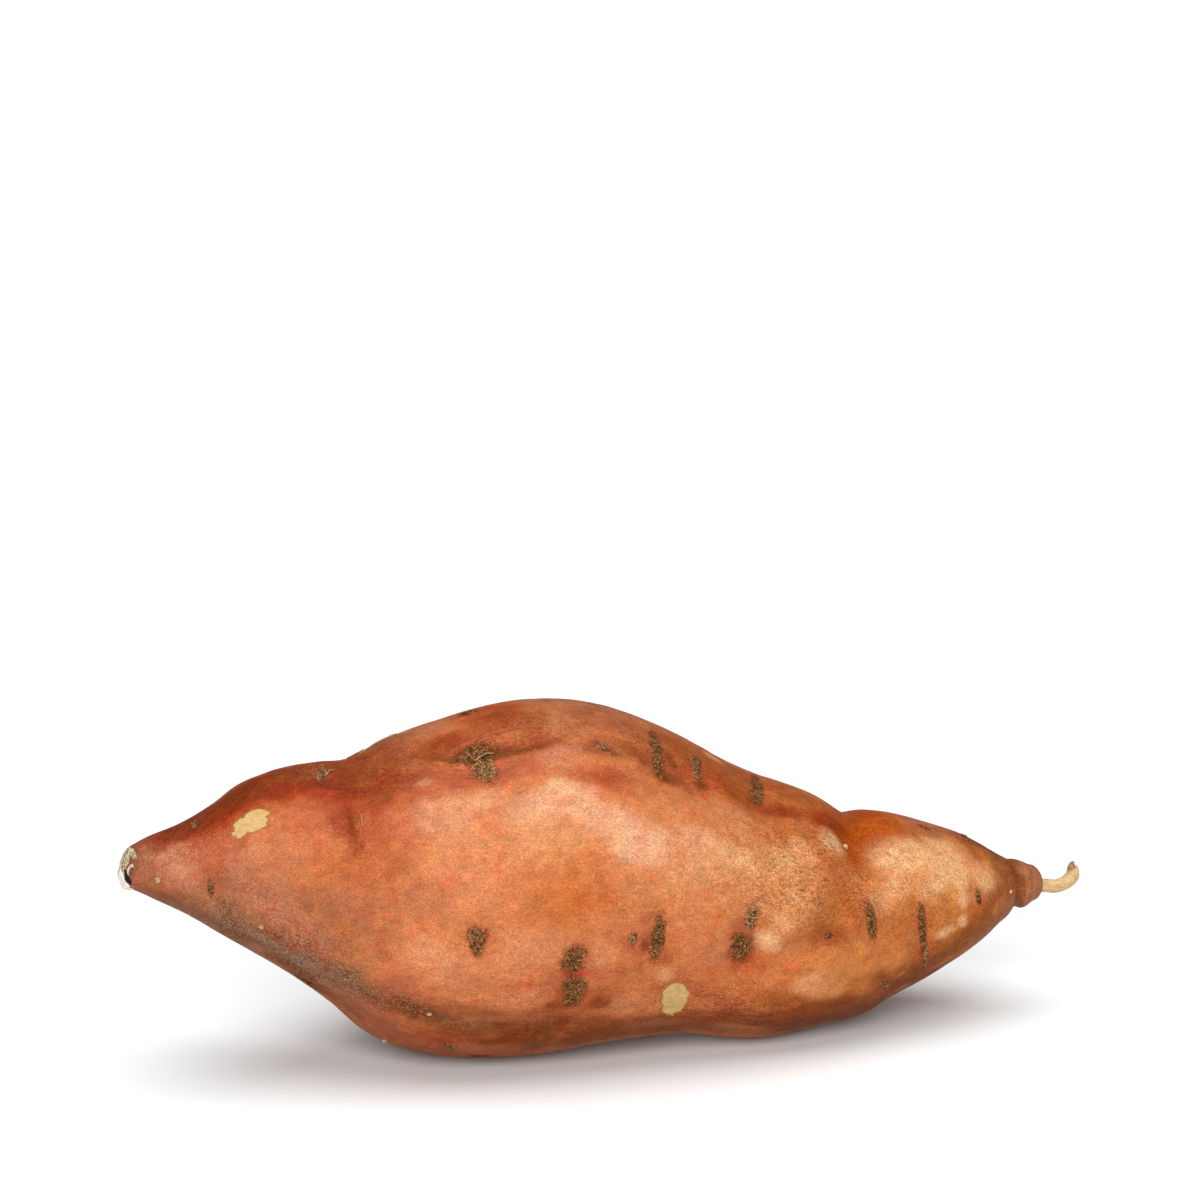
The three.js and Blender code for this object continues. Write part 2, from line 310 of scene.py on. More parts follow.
@dataclass(frozen=True)
class RootForm:
    """The root's shape, worked out from its cross-sections and what swells or creases it."""

    stem_end_x: float = -105.9
    stem_end_bluntness: float = 2.6
    neck_end_x: float = 97.6
    least_radius: float = 6.0
    sections: tuple[Section, ...] = (
        Section(-104, 49.6, 40.8, -7.5, 1),
        Section(-100, 51.4, 38.7, -9.5, 3),
        Section(-92, 53.9, 34.3, -13, 7),
        Section(-86, 56.8, 30.3, -16.5, 11),
        Section(-80, 60.3, 26.3, -19.5, 15.5),
        Section(-74, 62.1, 22.2, -22, 19),
        Section(-62, 63.7, 12.7, -27, 25),
        Section(-56, 64.1, 6.8, -29.5, 28),
        Section(-50, 66.4, 3.2, -32, 30.5),
        Section(-36, 70, -0.5, -35.5, 34.8),
        Section(-20, 73, -1, -36.5, 36.2),
        Section(-4, 72, 1, -36.5, 35.7),
        Section(12, 66, 1.5, -34.5, 35),
        Section(28, 57, -0.9, -31.5, 33),
        Section(44, 50.5, 1, -28, 30),
        Section(50, 47.5, 1.5, -25.5, 28),
        Section(53, 46, 2, -24, 27),
        Section(58, 45.5, 4.5, -22.5, 26),
        Section(70, 42.5, 9.5, -18, 21.5),
        Section(82, 37.5, 16, -12, 15.5),
        Section(86, 35, 18.8, -8.5, 12),
        Section(88.5, 33.4, 20.2, -6, 9.5),
        Section(90, 32.8, 21.6, -5, 8.8),
        Section(93, 32, 21.8, -4, 7.8),
        Section(95, 31, 23, -2.8, 6.6),
    )
    ribs: tuple[Rib, ...] = (
        Rib(0.016, 3, -0.5, -0.012),
        Rib(0.01, 4, 1.3, 0.02),
        Rib(0.008, 5, 0.4, -0.03),
        Rib(0.004, 7, 2.0, 0.05),
    )
    swells: tuple[Swell, ...] = (
        Swell(-24, 10, 15, 8, 0.9),
        Swell(-12, 62, 26, 18, 0.8),
        Swell(30, 70, 11, 10, 1.5),
        Swell(60, 28, 9, 9, 0.7),
        Swell(-72, 30, 12, 12, 0.6),
        Swell(-58, 44, 2.6, 5, -0.9),
        Swell(-54.5, 44, 2.2, 5, 0.4),
        Swell(-33, 28, 7, 7, -1.3),
        Swell(-17.7, 109, 4.6, 8, -1.7),
        Swell(-0.4, 97, 3.4, 8, -1.8),
        Swell(19.6, 96, 4.2, 7, -1.9),
        Swell(49.3, 79, 3.5, 6, -0.7),
        Swell(62, 96, 3.2, 9, -0.9),
        Swell(-38, 92, 4.4, 4.6, -1.2),
        Swell(4.6, 29, 4.5, 8, -0.9),
        Swell(13.7, 28, 3.5, 5, -0.6),
        Swell(27.7, 22, 4.5, 6, -0.9),
        Swell(5, 126, 9, 8, -0.9),
        Swell(-30, 292, 22, 15, 1.2),
        Swell(10, 250, 12, 13, -1.8),
        Swell(42, 298, 12, 9, 1.3),
        Swell(-62, 262, 9, 15, -1.7),
        Swell(0, 322, 17, 6, -1.2),
        Swell(22, 214, 12, 9, -1.0),
        Swell(-42, 222, 10, 10, 1.0),
    )
    creases: tuple[Crease, ...] = (
        Crease(3.4, 1.5, ((-46, 8), (-36, 25), (-28, 28), (-20, 23), (-12, 14), (-4, 4))),
        Crease(4.4, 1.1, ((-18, 37), (-6, 44), (5, 40), (17, 36), (27, 32), (37, 34), (46, 41))),
        Crease(
            4.2, 1.5, ((53, -35), (52, 3), (49.5, 25), (47, 48), (43, 74), (36, 92), (26, 101), (14, 110))
        ),
        Crease(6.5, 1.1, ((-56, -30), (-56, 15), (-58, 43), (-55, 70), (-51, 98))),
        Crease(3.4, 1.1, ((-62, 117), (-48, 125), (-34, 128.5), (-20, 129.5), (-8, 134), (6, 140))),
        Crease(5, 1.4, ((-48, 330), (-44, 290), (-50, 250), (-58, 225))),
        Crease(4, 1.5, ((50, 300), (47, 270), (52, 235), (60, 215))),
        Crease(4.5, 1.1, ((-10, 236), (14, 242), (34, 256))),
        Crease(1.3, 0.9, ((-48, 11), (-40, 16), (-35.5, 20), (-31, 22.5), (-26, 23.5), (-19, 22))),
        Crease(1.4, 0.5, ((2, 35), (7, 36), (13, 38), (20, 40))),
        Crease(0.8, 0.4, ((-59.5, 34), (-59.9, 41), (-60, 48))),
        Crease(1.0, -0.45, ((-57.7, 34), (-58.1, 41), (-58.4, 50))),
        Crease(0.9, 0.25, ((2, 131), (14, 133), (30, 131))),
        Crease(0.9, 0.25, ((10, 137), (22, 137), (36, 134))),
        Crease(
            1.0, 0.5, ((90.6, -60), (90, 10), (89.8, 50), (90.1, 90), (90.6, 140), (90.8, 200), (90.6, 300))
        ),
    )
    low_relief: tuple[tuple[float, float], ...] = ((6.5, 0.1), (2.6, 0.05))
    uneven: Unevenness = field(default_factory=lambda: Unevenness(5))

    def outline(self, side: Side, x: Array) -> Array:
        """Reads one side of the sections along a smooth curve.

        Args:
            side: which side of the outline.
            x: places along the root.

        Returns:
            That side's coordinate at each place.
        """
        places = np.array([s.x for s in self.sections], float)
        values = np.array([getattr(s, side.value) for s in self.sections], float)
        gap = np.diff(places)
        rise = np.diff(values) / gap
        inner = (rise[1:] * gap[:-1] + rise[:-1] * gap[1:]) / (gap[1:] + gap[:-1])
        slope = np.concatenate([[rise[0]], inner, [rise[-1]]])
        i = np.clip(np.searchsorted(places, x) - 1, 0, len(gap) - 1)
        t = np.clip((x - places[i]) / gap[i], 0, 1)
        s = 1 - t
        start = (values[i] * (1 + 2 * t) + slope[i] * gap[i] * t) * s * s
        end = (values[i + 1] * (3 - 2 * t) - slope[i + 1] * gap[i] * s) * t * t
        return start + end

    def rounding(self, x: Array) -> Array:
        """Gives 1 along the root, falling to 0 at its blunt stem end and its round neck."""
        first, last, blunt = self.sections[0].x, self.sections[-1].x, self.stem_end_bluntness
        left = np.clip((first - x) / (first - self.stem_end_x), 0, 1)
        right = np.clip((x - last) / (self.neck_end_x - last), 0, 1)
        return (1 - left**blunt) ** (1 / blunt) * np.sqrt(1 - right * right)

    @staticmethod
    def crease_share(crease: Crease, x: Array, angle: Array, radius: Array) -> Array:
        """Says how deep a crease is at each place.

        Args:
            crease: the crease.
            x: places along the root.
            angle: angles round it.
            radius: the radius at each place.

        Returns:
            1 on the crease's line, less with the distance and towards its ends.
        """
        nearest = np.full(radius.shape, np.inf)
        along = np.zeros(radius.shape)
        run = np.zeros(radius.shape)
        for (x0, a0), (x1, a1) in zip(crease.line, crease.line[1:]):
            dx, da = x1 - x0, math.radians(a1 - a0) * radius
            ux, ua = x - x0, arc(angle, a0, radius)
            t = np.clip((ux * dx + ua * da) / (dx * dx + da * da), 0, 1)
            distance = np.hypot(ux - t * dx, ua - t * da)
            length = np.hypot(dx, da)
            along = np.where(distance < nearest, run + t * length, along)
            nearest = np.minimum(nearest, distance)
            run = run + length
        fading = np.sqrt(np.sin(np.pi * np.clip(along / run, 0, 1)))
        return np.exp(-((nearest / crease.half_width) ** 2)) * fading

    def radius_at(self, x: Array, angle: Array) -> Array:
        """Measures how far the plain cross-section reaches at each angle."""
        a = np.radians(angle)
        across = (self.outline(Side.BACK, x) - self.outline(Side.FRONT, x)) / 2 * np.sin(a)
        up = (self.outline(Side.TOP, x) - self.outline(Side.BOTTOM, x)) / 2 * np.cos(a)
        return np.maximum(np.hypot(across, up) * self.rounding(x), self.least_radius)

    def surface(self, x: Array, angle: Array) -> Array:
        """Finds points on the root.

        Args:
            x: places along the root.
            angle: angles round it, in degrees.

        Returns:
            The points, with x, y and z in the last axis.
        """
        x, angle = np.broadcast_arrays(np.asarray(x, float), np.asarray(angle, float))
        a = np.radians(angle)
        top, bottom, front, back = (self.outline(side, x) for side in Side)
        round_off = self.rounding(x)
        y = -(back - front) / 2 * np.sin(a) * round_off
        z = (top - bottom) / 2 * np.cos(a) * round_off
        radius = np.maximum(np.hypot(y, z), self.least_radius)
        relief = np.zeros(x.shape)
        for s in self.swells:
            u, v = (x - s.x) / s.along, arc(angle, s.angle, radius) / s.round
            relief += s.height * np.exp(-u * u - v * v)
        for crease in self.creases:
            relief -= crease.depth * self.crease_share(crease, x, angle, radius)
        scale = 1 + relief / radius * round_off
        for rib in self.ribs:
            scale = scale + rib.share * np.cos(rib.count * a + rib.start + rib.turn * x)
        return np.stack([x, (front + back) / 2 + y * scale, (top + bottom) / 2 + z * scale], -1)

    def raised(self, x: Array, angle: Array, lift: Array) -> Array:
        """Finds points that stand off the root, kept on or above the surface that it lies on.

        Args:
            x: places along the root.
            angle: angles round it, in degrees.
            lift: how far each point stands out, in mm.

        Returns:
            The points, in mm.
        """
        step = 0.4
        along = self.surface(x + step, angle) - self.surface(x - step, angle)
        sideways = self.surface(x, angle + step) - self.surface(x, angle - step)
        out = np.cross(sideways, along)
        out /= np.linalg.norm(out, axis=-1, keepdims=True)
        base = self.surface(x, angle)
        low_relief = sum(height * self.uneven.at(base, size) for size, height in self.low_relief)
        points = base + out * (lift + low_relief)[..., None]
        points[..., 2] = np.maximum(points[..., 2], 0)
        return points


class Shade:
    """Builds one material's nodes, a short step at a time."""

    def __init__(self, name: str) -> None:
        """Starts a material with a principled shader.

        Args:
            name: the material's name.
        """
        self.material = bpy.data.materials.new(name)
        self.material.use_nodes = True
        self.tree = self.material.node_tree
        self.shader = self.tree.nodes["Principled BSDF"]

    def node(self, kind: str, **settings: object) -> bpy.types.Node:
        """Adds a node and sets its properties."""
        made = self.tree.nodes.new(kind)
        for key, value in settings.items():
            setattr(made, key, value)
        return made

    def feed(self, value: object, socket: Socket) -> None:
        """Sets a socket to a number or a colour, or links it."""
        if isinstance(value, Socket):
            self.tree.links.new(value, socket)
        elif isinstance(value, tuple) and len(value) == 3 and socket.type == "RGBA":
            socket.default_value = (*value, 1.0)
        else:
            socket.default_value = value

    def attribute(self, name: str) -> Socket:
        """Reads a number that the mesh holds."""
        return self.node("ShaderNodeAttribute", attribute_name=name).outputs["Fac"]

    def noise(
        self,
        size: float,
        stretch: tuple[float, float, float] = (1.0, 1.0, 1.0),
        detail: float = 3.0,
        roughness: float = 0.55,
        shift: float = 0.0,
    ) -> Socket:
        """Adds a noise.

        Args:
            size: how far apart its bumps are, in mm.
            stretch: how much the pattern is squeezed along each axis.
            detail: how many finer layers it has.
            roughness: how strong those layers are.
            shift: moves the pattern, so that two noises differ.

        Returns:
            The noise, from 0 to 1.
        """
        mapping = self.node("ShaderNodeMapping")
        mapping.inputs["Scale"].default_value = stretch
        mapping.inputs["Location"].default_value = (shift, shift * 0.7, -shift)
        self.feed(self.node("ShaderNodeTexCoord").outputs["Object"], mapping.inputs["Vector"])
        made = self.node("ShaderNodeTexNoise")
        self.feed(mapping.outputs["Vector"], made.inputs["Vector"])
        made.inputs["Scale"].default_value = 1 / (size * MM)
        made.inputs["Detail"].default_value = detail
        made.inputs["Roughness"].default_value = roughness
        return made.outputs["Fac"]

    def maths(self, operation: str, a: object, b: object = 0.0, c: object = 0.0) -> Socket:
        """Works out one number from up to three."""
        made = self.node("ShaderNodeMath", operation=operation)
        for value, socket in zip((a, b, c), made.inputs):
            self.feed(value, socket)
        return made.outputs["Value"]

    def step(self, value: object, low: float, high: float, to: float = 1.0) -> Socket:
        """Rises smoothly from 0 at low to another value at high."""
        made = self.node("ShaderNodeMapRange", interpolation_type="SMOOTHSTEP")
        for key, number in (("From Min", low), ("From Max", high), ("To Min", 0.0), ("To Max", to)):
            made.inputs[key].default_value = number
        self.feed(value, made.inputs["Value"])
        return made.outputs["Result"]

    def blend(self, amount: object, under: object, over: object, how: Lay = Lay.COVER) -> Socket:
        """Lays one colour over another."""
        made = self.node("ShaderNodeMix", data_type="RGBA", blend_type=how.value)
        self.feed(amount, made.inputs[0])
        self.feed(under, made.inputs[6])
        self.feed(over, made.inputs[7])
        return made.outputs[2]

    def grey(self, value: object) -> Socket:
        """Makes a grey of a number."""
        made = self.node("ShaderNodeCombineColor")
        for socket in made.inputs:
            self.feed(value, socket)
        return made.outputs["Color"]

    def bump(
        self, height: object, distance: float, strength: float = 1.0, under: object = None
    ) -> Socket:
        """Adds fine relief.

        Args:
            height: the relief, from 0 to 1.
            distance: how high 1 stands, in mm.
            strength: how much of it shows.
            under: a coarser relief that it lies on.

        Returns:
            The bent normal.
        """
        made = self.node("ShaderNodeBump")
        made.inputs["Distance"].default_value = distance * MM
        made.inputs["Strength"].default_value = strength
        self.feed(height, made.inputs["Height"])
        if under is not None:
            self.feed(under, made.inputs["Normal"])
        return made.outputs["Normal"]

    def finish(
        self, colour: object, roughness: object, normal: object = None, specular: float = 0.4
    ) -> Material:
        """Sets the shader's main sockets and gives the material."""
        self.feed(colour, self.shader.inputs["Base Color"])
        self.feed(roughness, self.shader.inputs["Roughness"])
        self.shader.inputs["Specular IOR Level"].default_value = specular
        if normal is not None:
            self.feed(normal, self.shader.inputs["Normal"])
        return self.material


@dataclass(frozen=True)
class Veil:
    """A tint that a stepped noise lays over a colour.

    The noise's size is in mm. It steps from low to high, and most is how much of the tint then shows.
    """

    tint: Colour
    size: float
    low: float
    high: float
    most: float = 1.0
    stretch: tuple[float, float, float] = (1.0, 1.0, 1.0)
    detail: float = 2.0
    roughness: float = 0.6
    shift: float = 0.0
    how: Lay = Lay.TINT

    def noise(self, shade: Shade) -> Socket:
        """Makes the veil's noise."""
        return shade.noise(self.size, self.stretch, self.detail, self.roughness, self.shift)

    def over(self, shade: Shade, colour: object, share: object = None) -> Socket:
        """Lays the tint over a colour.

        Args:
            shade: the material that is being built.
            colour: the colour under the tint.
            share: how much of the veil there is, from 0 to 1, or None for all of it.

        Returns:
            The tinted colour.
        """
        mask = shade.step(self.noise(shade), self.low, self.high, self.most)
        if share is not None:
            mask = shade.maths("MULTIPLY", mask, share)
        return shade.blend(mask, colour, self.tint, self.how)


@dataclass(frozen=True)
class SkinFinish:
    """Thin red-orange skin: its painted tone, mottled, and grainy with fine dark and pale specks."""

    redder: Veil = Veil((1.0, 0.72, 0.62), 4.5, 0.48, 0.7, 0.7, detail=5.0, shift=7.0)
    golder: Veil = Veil((1.08, 1.25, 1.1), 6.0, 0.5, 0.72, 0.6, detail=5.0, shift=17.0)
    mottling: Veil = Veil((0.62, 0.47, 0.37), 0.6, 0.47, 0.64, 0.9, (0.45, 1.0, 1.0), 3.0, 0.65, 14.0)
    dark_grain: Veil = Veil((0.62, 0.46, 0.34), 0.3, 0.42, 0.62, 1.0, (0.6, 1.0, 1.0), 2.0, 0.7, 4.0)
    pale_grain: Veil = Veil((1.25, 1.5, 1.7), 0.34, 0.5, 0.66, 1.0, (0.6, 1.0, 1.0), 2.0, 0.7, 9.0)
    flecks: Veil = Veil((0.09, 0.03, 0.01), 0.5, 0.69, 0.75, 0.45, detail=1.0, shift=2.0, how=Lay.COVER)
    dust_pits: Veil = Veil((0.45, 0.38, 0.32), 0.6, 0.5, 0.64, 0.9, shift=11.0)
    dust_crumbs: Veil = Veil(
        (0.34, 0.225, 0.145), 0.55, 0.53, 0.66, 0.8, roughness=0.7, shift=6.0, how=Lay.COVER
    )
    cloud_size: float = 2.2
    cloud_range: float = 1.05
    cloud_least: float = 0.56
    least_specks: float = 0.62
    more_specks: float = 0.38
    wrinkle_size: float = 2.2
    wrinkle_height: float = 0.5
    grain_height: float = 0.16
    roughness: float = 0.5
    specular: float = 0.07

    def colour(self, shade: Shade) -> object:
        """Mottles the painted tone, then lays the grain and the dust over it.

        Args:
            shade: the material that is being built.

        Returns:
            The colour's socket.
        """
        colour: object = shade.node("ShaderNodeAttribute", attribute_name="tone").outputs["Color"]
        for veil in (self.redder, self.golder):
            colour = veil.over(shade, colour)
        cloud = shade.noise(self.cloud_size, (0.7, 1.0, 1.0), 5.0, 0.62, 5.0)
        light = shade.maths("MULTIPLY_ADD", cloud, self.cloud_range, self.cloud_least)
        colour = shade.blend(1.0, colour, shade.grey(light), Lay.TINT)
        speckled = shade.attribute("specks")
        colour = self.mottling.over(shade, colour, speckled)
        specks = shade.maths("MULTIPLY_ADD", speckled, self.more_specks, self.least_specks)
        for veil in (self.dark_grain, self.pale_grain):
            colour = veil.over(shade, colour, specks)
        colour = self.flecks.over(shade, colour)
        dust = shade.attribute("dust")
        for veil in (self.dust_pits, self.dust_crumbs):
            colour = veil.over(shade, colour, dust)
        return colour

    def relief(self, shade: Shade) -> Socket:
        """Adds low wrinkles and a fine grain."""
        wrinkles = shade.noise(self.wrinkle_size, (0.4, 1.0, 1.0), 4.0, 0.6, 12.0)
        normal = shade.bump(wrinkles, self.wrinkle_height, 0.75)
        grain = shade.maths("SUBTRACT", 1.0, self.dark_grain.noise(shade))
        return shade.bump(grain, self.grain_height, 0.8, normal)

    def gloss(self, shade: Shade) -> Socket:
        """Varies the roughness, duller where there is dust."""
        dull = shade.maths("MULTIPLY_ADD", shade.attribute("dust"), 0.25, self.roughness - 0.12)
        return shade.maths("MULTIPLY_ADD", shade.noise(3.2, detail=4.0, shift=1.0), 0.24, dull)

    def material(self) -> Material:
        """Builds the skin's material."""
        shade = Shade("sweet_potato_skin")
        return shade.finish(self.colour(shade), self.gloss(shade), self.relief(shade), self.specular)


@dataclass(frozen=True)
class CorkFinish:
    """Dry crumbly cork that breaks through the skin: dark pits, brown grains and beige crumbs."""

    pit: Colour = (0.04, 0.013, 0.002)
    grain: Colour = (0.18, 0.068, 0.019)
    grain_step: tuple[float, ...] = (0.36, 0.6)
    crumb: Colour = (0.4, 0.215, 0.105)
    crumb_step: tuple[float, ...] = (0.73, 0.88, 0.85)
    fleck: Colour = (0.62, 0.43, 0.26)
    fleck_step: tuple[float, ...] = (0.92, 1.0, 0.9)
    rim: Colour = (0.52, 0.3, 0.2)
    rim_step: tuple[float, ...] = (2.2, 2.8, 0.9)
    cover_step: tuple[float, ...] = (2.55, 3.1)
    fraying: float = 2.6
    specular: float = 0.06
    skin: SkinFinish = field(default_factory=SkinFinish)

    def material(self) -> Material:
        """Builds the cork's material, which frays into the skin's at a scar's edge."""
        shade = Shade("scar_cork")
        coarse = shade.noise(0.9, detail=4.0, roughness=0.75)
        fine = shade.noise(0.32, detail=3.0, roughness=0.7, shift=3.0)
        cork = shade.blend(shade.step(coarse, *self.grain_step), self.pit, self.grain)
        light = shade.maths("MULTIPLY_ADD", shade.attribute("pale"), 0.1, fine)
        light = shade.maths("MULTIPLY_ADD", coarse, 0.4, light)
        cork = shade.blend(shade.step(light, *self.crumb_step), cork, self.crumb)
        pits = Veil(self.pit, 0.4, 0.51, 0.61, 0.9, detail=1.0, roughness=0.5, shift=8.0, how=Lay.COVER)
        cork = pits.over(shade, cork)
        cork = shade.blend(shade.step(light, *self.fleck_step), cork, self.fleck)
        frayed = shade.maths("MULTIPLY_ADD", coarse, self.fraying, shade.attribute("cover"))
        frayed = shade.maths("MULTIPLY_ADD", fine, self.fraying, frayed)
        skin = shade.blend(shade.step(frayed, *self.rim_step), self.skin.colour(shade), self.rim, Lay.TINT)
        cover = shade.step(frayed, *self.cover_step)
        normal = shade.bump(shade.maths("ADD", fine, coarse), 0.16, 0.8, self.skin.relief(shade))
        gloss = shade.maths("MULTIPLY_ADD", cover, 0.25, 0.55)
        return shade.finish(shade.blend(cover, skin, cork), gloss, normal, self.specular)


@dataclass(frozen=True)
class PeelFinish:
    """Dried flesh where the skin has come off: pale tan, a little mottled, with a torn edge."""

    flesh: Colour = (0.47, 0.31, 0.125)
    shadow: Colour = (0.38, 0.215, 0.07)
    shadow_step: tuple[float, ...] = (0.42, 0.66, 0.8)
    rim: Colour = (0.24, 0.1, 0.026)
    rim_step: tuple[float, ...] = (0.66, 0.8)
    skin_step: tuple[float, ...] = (0.56, 0.62)
    roughness: float = 0.65
    specular: float = 0.14
    skin: SkinFinish = field(default_factory=SkinFinish)

    def material(self) -> Material:
        """Builds the peeled spot's material, browner along its torn edge."""
        shade = Shade("peeled_flesh")
        mottle = shade.noise(1.3, detail=5.0, roughness=0.7)
        fine = shade.noise(0.5, detail=3.0, roughness=0.6, shift=2.0)
        flesh = shade.blend(shade.step(mottle, *self.shadow_step), self.flesh, self.shadow)
        torn = shade.maths("MULTIPLY_ADD", fine, 0.7, shade.attribute("cover"))
        torn = shade.maths("MULTIPLY_ADD", mottle, 0.5, torn)
        flesh = shade.blend(shade.step(torn, *self.rim_step), self.rim, flesh)
        colour = shade.blend(shade.step(torn, *self.skin_step), self.skin.colour(shade), flesh)
        normal = shade.bump(fine, 0.1, 0.6, self.skin.relief(shade))
        return shade.finish(colour, self.roughness, normal, self.specular)


@dataclass(frozen=True)
class TailFinish:
    """Dried root fibre: cream to tan, streaked lengthwise, with a dark husk at its tip."""

    cream: Colour = (0.5, 0.35, 0.185)
    tan: Colour = (0.36, 0.21, 0.08)
    tan_step: tuple[float, ...] = (0.42, 0.66)
    husk: Colour = (0.24, 0.12, 0.055)
    mark_step: tuple[float, ...] = (0.66, 0.74, 0.8)
    husk_step: tuple[float, ...] = (0.3, 0.75, 0.9)
    roughness: float = 0.75
    specular: float = 0.25

    def material(self) -> Material:
        """Builds the tail root's material from streaks, dark marks and the husk's mask."""
        shade = Shade("tail_root_fibre")
        streaks = shade.noise(0.5, stretch=(0.25, 1.0, 1.0), detail=4.0, roughness=0.7)
        colour = shade.blend(shade.step(streaks, *self.tan_step), self.cream, self.tan)
        marks = shade.step(shade.noise(0.9, detail=2.0, shift=5.0), *self.mark_step)
        colour = shade.blend(marks, colour, self.husk)
        husk = shade.maths("ADD", shade.attribute("husk"), shade.maths("SUBTRACT", streaks, 0.5))
        colour = shade.blend(shade.step(husk, *self.husk_step), colour, self.husk)
        return shade.finish(colour, self.roughness, shade.bump(streaks, 0.12, 0.8), self.specular)


@dataclass(frozen=True)
class StemFinish:
    """Dried stem tissue: cream dotted black, brown where it is torn, with a white wedge and a split."""

    cream: Colour = (0.5, 0.42, 0.27)
    olive: Colour = (0.16, 0.1, 0.04)
    olive_step: tuple[float, ...] = (0.43, 0.58, 0.8)
    brown: Colour = (0.19, 0.062, 0.026)
    white: Colour = (0.68, 0.6, 0.55)
    black: Colour = (0.008, 0.005, 0.003)
    speck_step: tuple[float, ...] = (0.6, 0.67, 0.95)
    pink: Colour = (0.56, 0.38, 0.3)
    roughness: float = 0.8
    specular: float = 0.2

    def material(self) -> Material:
        """Builds the stem end's material from its masks."""
        shade = Shade("stem_end_tissue")
        mottle = shade.noise(0.8, detail=4.0, roughness=0.7)
        colour = shade.blend(shade.step(mottle, *self.olive_step), self.cream, self.olive)
        torn = shade.maths("ADD", shade.attribute("torn"), shade.maths("SUBTRACT", mottle, 0.5))
        colour = shade.blend(shade.step(torn, 0.3, 0.7), colour, self.brown)
        specks = shade.step(shade.noise(0.5, detail=1.0, shift=2.0), *self.speck_step)
        colour = shade.blend(specks, colour, self.black)
        colour = shade.blend(shade.step(shade.attribute("ridge"), 0.35, 0.75), colour, self.pink)
        wedge = shade.maths("MULTIPLY_ADD", mottle, 0.35, shade.attribute("wedge"))
        colour = shade.blend(shade.step(wedge, 0.5, 0.75, 0.95), colour, self.white)
        colour = shade.blend(shade.step(shade.attribute("split"), 0.3, 0.6), colour, self.black)
        return shade.finish(colour, self.roughness, shade.bump(mottle, 0.15, 0.7), self.specular)


@dataclass(frozen=True)
class FibreFinish:
    """A dry rootlet: pale straw."""

    straw: Colour = (0.44, 0.29, 0.16)
    bark: Colour = (0.26, 0.12, 0.05)
    roughness: float = 0.7

    def material(self) -> Material:
        """Builds the rootlet's material, with browner stretches."""
        shade = Shade("rootlet_straw")
        mottle = shade.step(shade.noise(0.7, detail=2.0), 0.45, 0.7)
        return shade.finish(shade.blend(mottle, self.straw, self.bark), self.roughness)


@dataclass(frozen=True)
class FloorFinish:
    """A plain white studio floor."""

    white: Colour = (0.78, 0.8, 0.803)
    paler: Colour = (0.8, 0.83, 0.84)
    roughness: float = 0.9
    specular: float = 0.1

    def material(self) -> Material:
        """Builds the floor's material, with a trace of unevenness."""
        shade = Shade("studio_floor")
        tone = shade.step(shade.noise(400.0, detail=1.0), 0.3, 0.7, 0.1)
        return shade.finish(shade.blend(tone, self.white, self.paler), self.roughness, None, self.specular)


def grid_faces(rows: int, columns: int, closed: bool) -> Faces:
    """Lists the faces between rows of points.

    Args:
        rows: how many rows there are.
        columns: how many points each row has.
        closed: whether each row joins its own start.

    Returns:
        The faces, as point numbers.
    """
    faces = []
    for i, k in product(range(rows - 1), range(columns if closed else columns - 1)):
        here, after = i * columns + k, i * columns + (k + 1) % columns
        faces.append((here, after, after + columns, here + columns))
    return faces


def write_piece(name: str, points: Array, faces: Faces, marks: dict[str, Array]) -> Piece:
    """Makes a smooth-shaded mesh object.

    Args:
        name: the piece's name.
        points: its points, in mm.
        faces: its faces, as point numbers.
        marks: numbers or colours for each point, by attribute name.

    Returns:
        The object, in metres, linked to the scene.
    """
    mesh = bpy.data.meshes.new(name)
    mesh.from_pydata((points * MM).tolist(), [], faces)
    for key, values in marks.items():
        made = mesh.attributes.new(key, "FLOAT_COLOR" if values.ndim == 2 else "FLOAT", "POINT")
        if values.ndim == 2:
            values = np.concatenate([values, np.ones((len(values), 1))], 1)
        made.data.foreach_set("color" if values.ndim == 2 else "value", values.astype(np.float32).ravel())
    mesh.shade_smooth()
    mesh.validate()
    piece = bpy.data.objects.new(name, mesh)
    bpy.context.scene.collection.objects.link(piece)
    return piece


def set_out(piece: Piece, material: Material) -> None:
    """Gives a piece its finish and its place in the frame, where it stands for the root's solid."""
    piece.data.materials.append(material)
    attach(piece, BODY)
    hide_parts(ROOT_NODE)
    LOG.info("%s: %d faces", piece.name, len(piece.data.polygons))


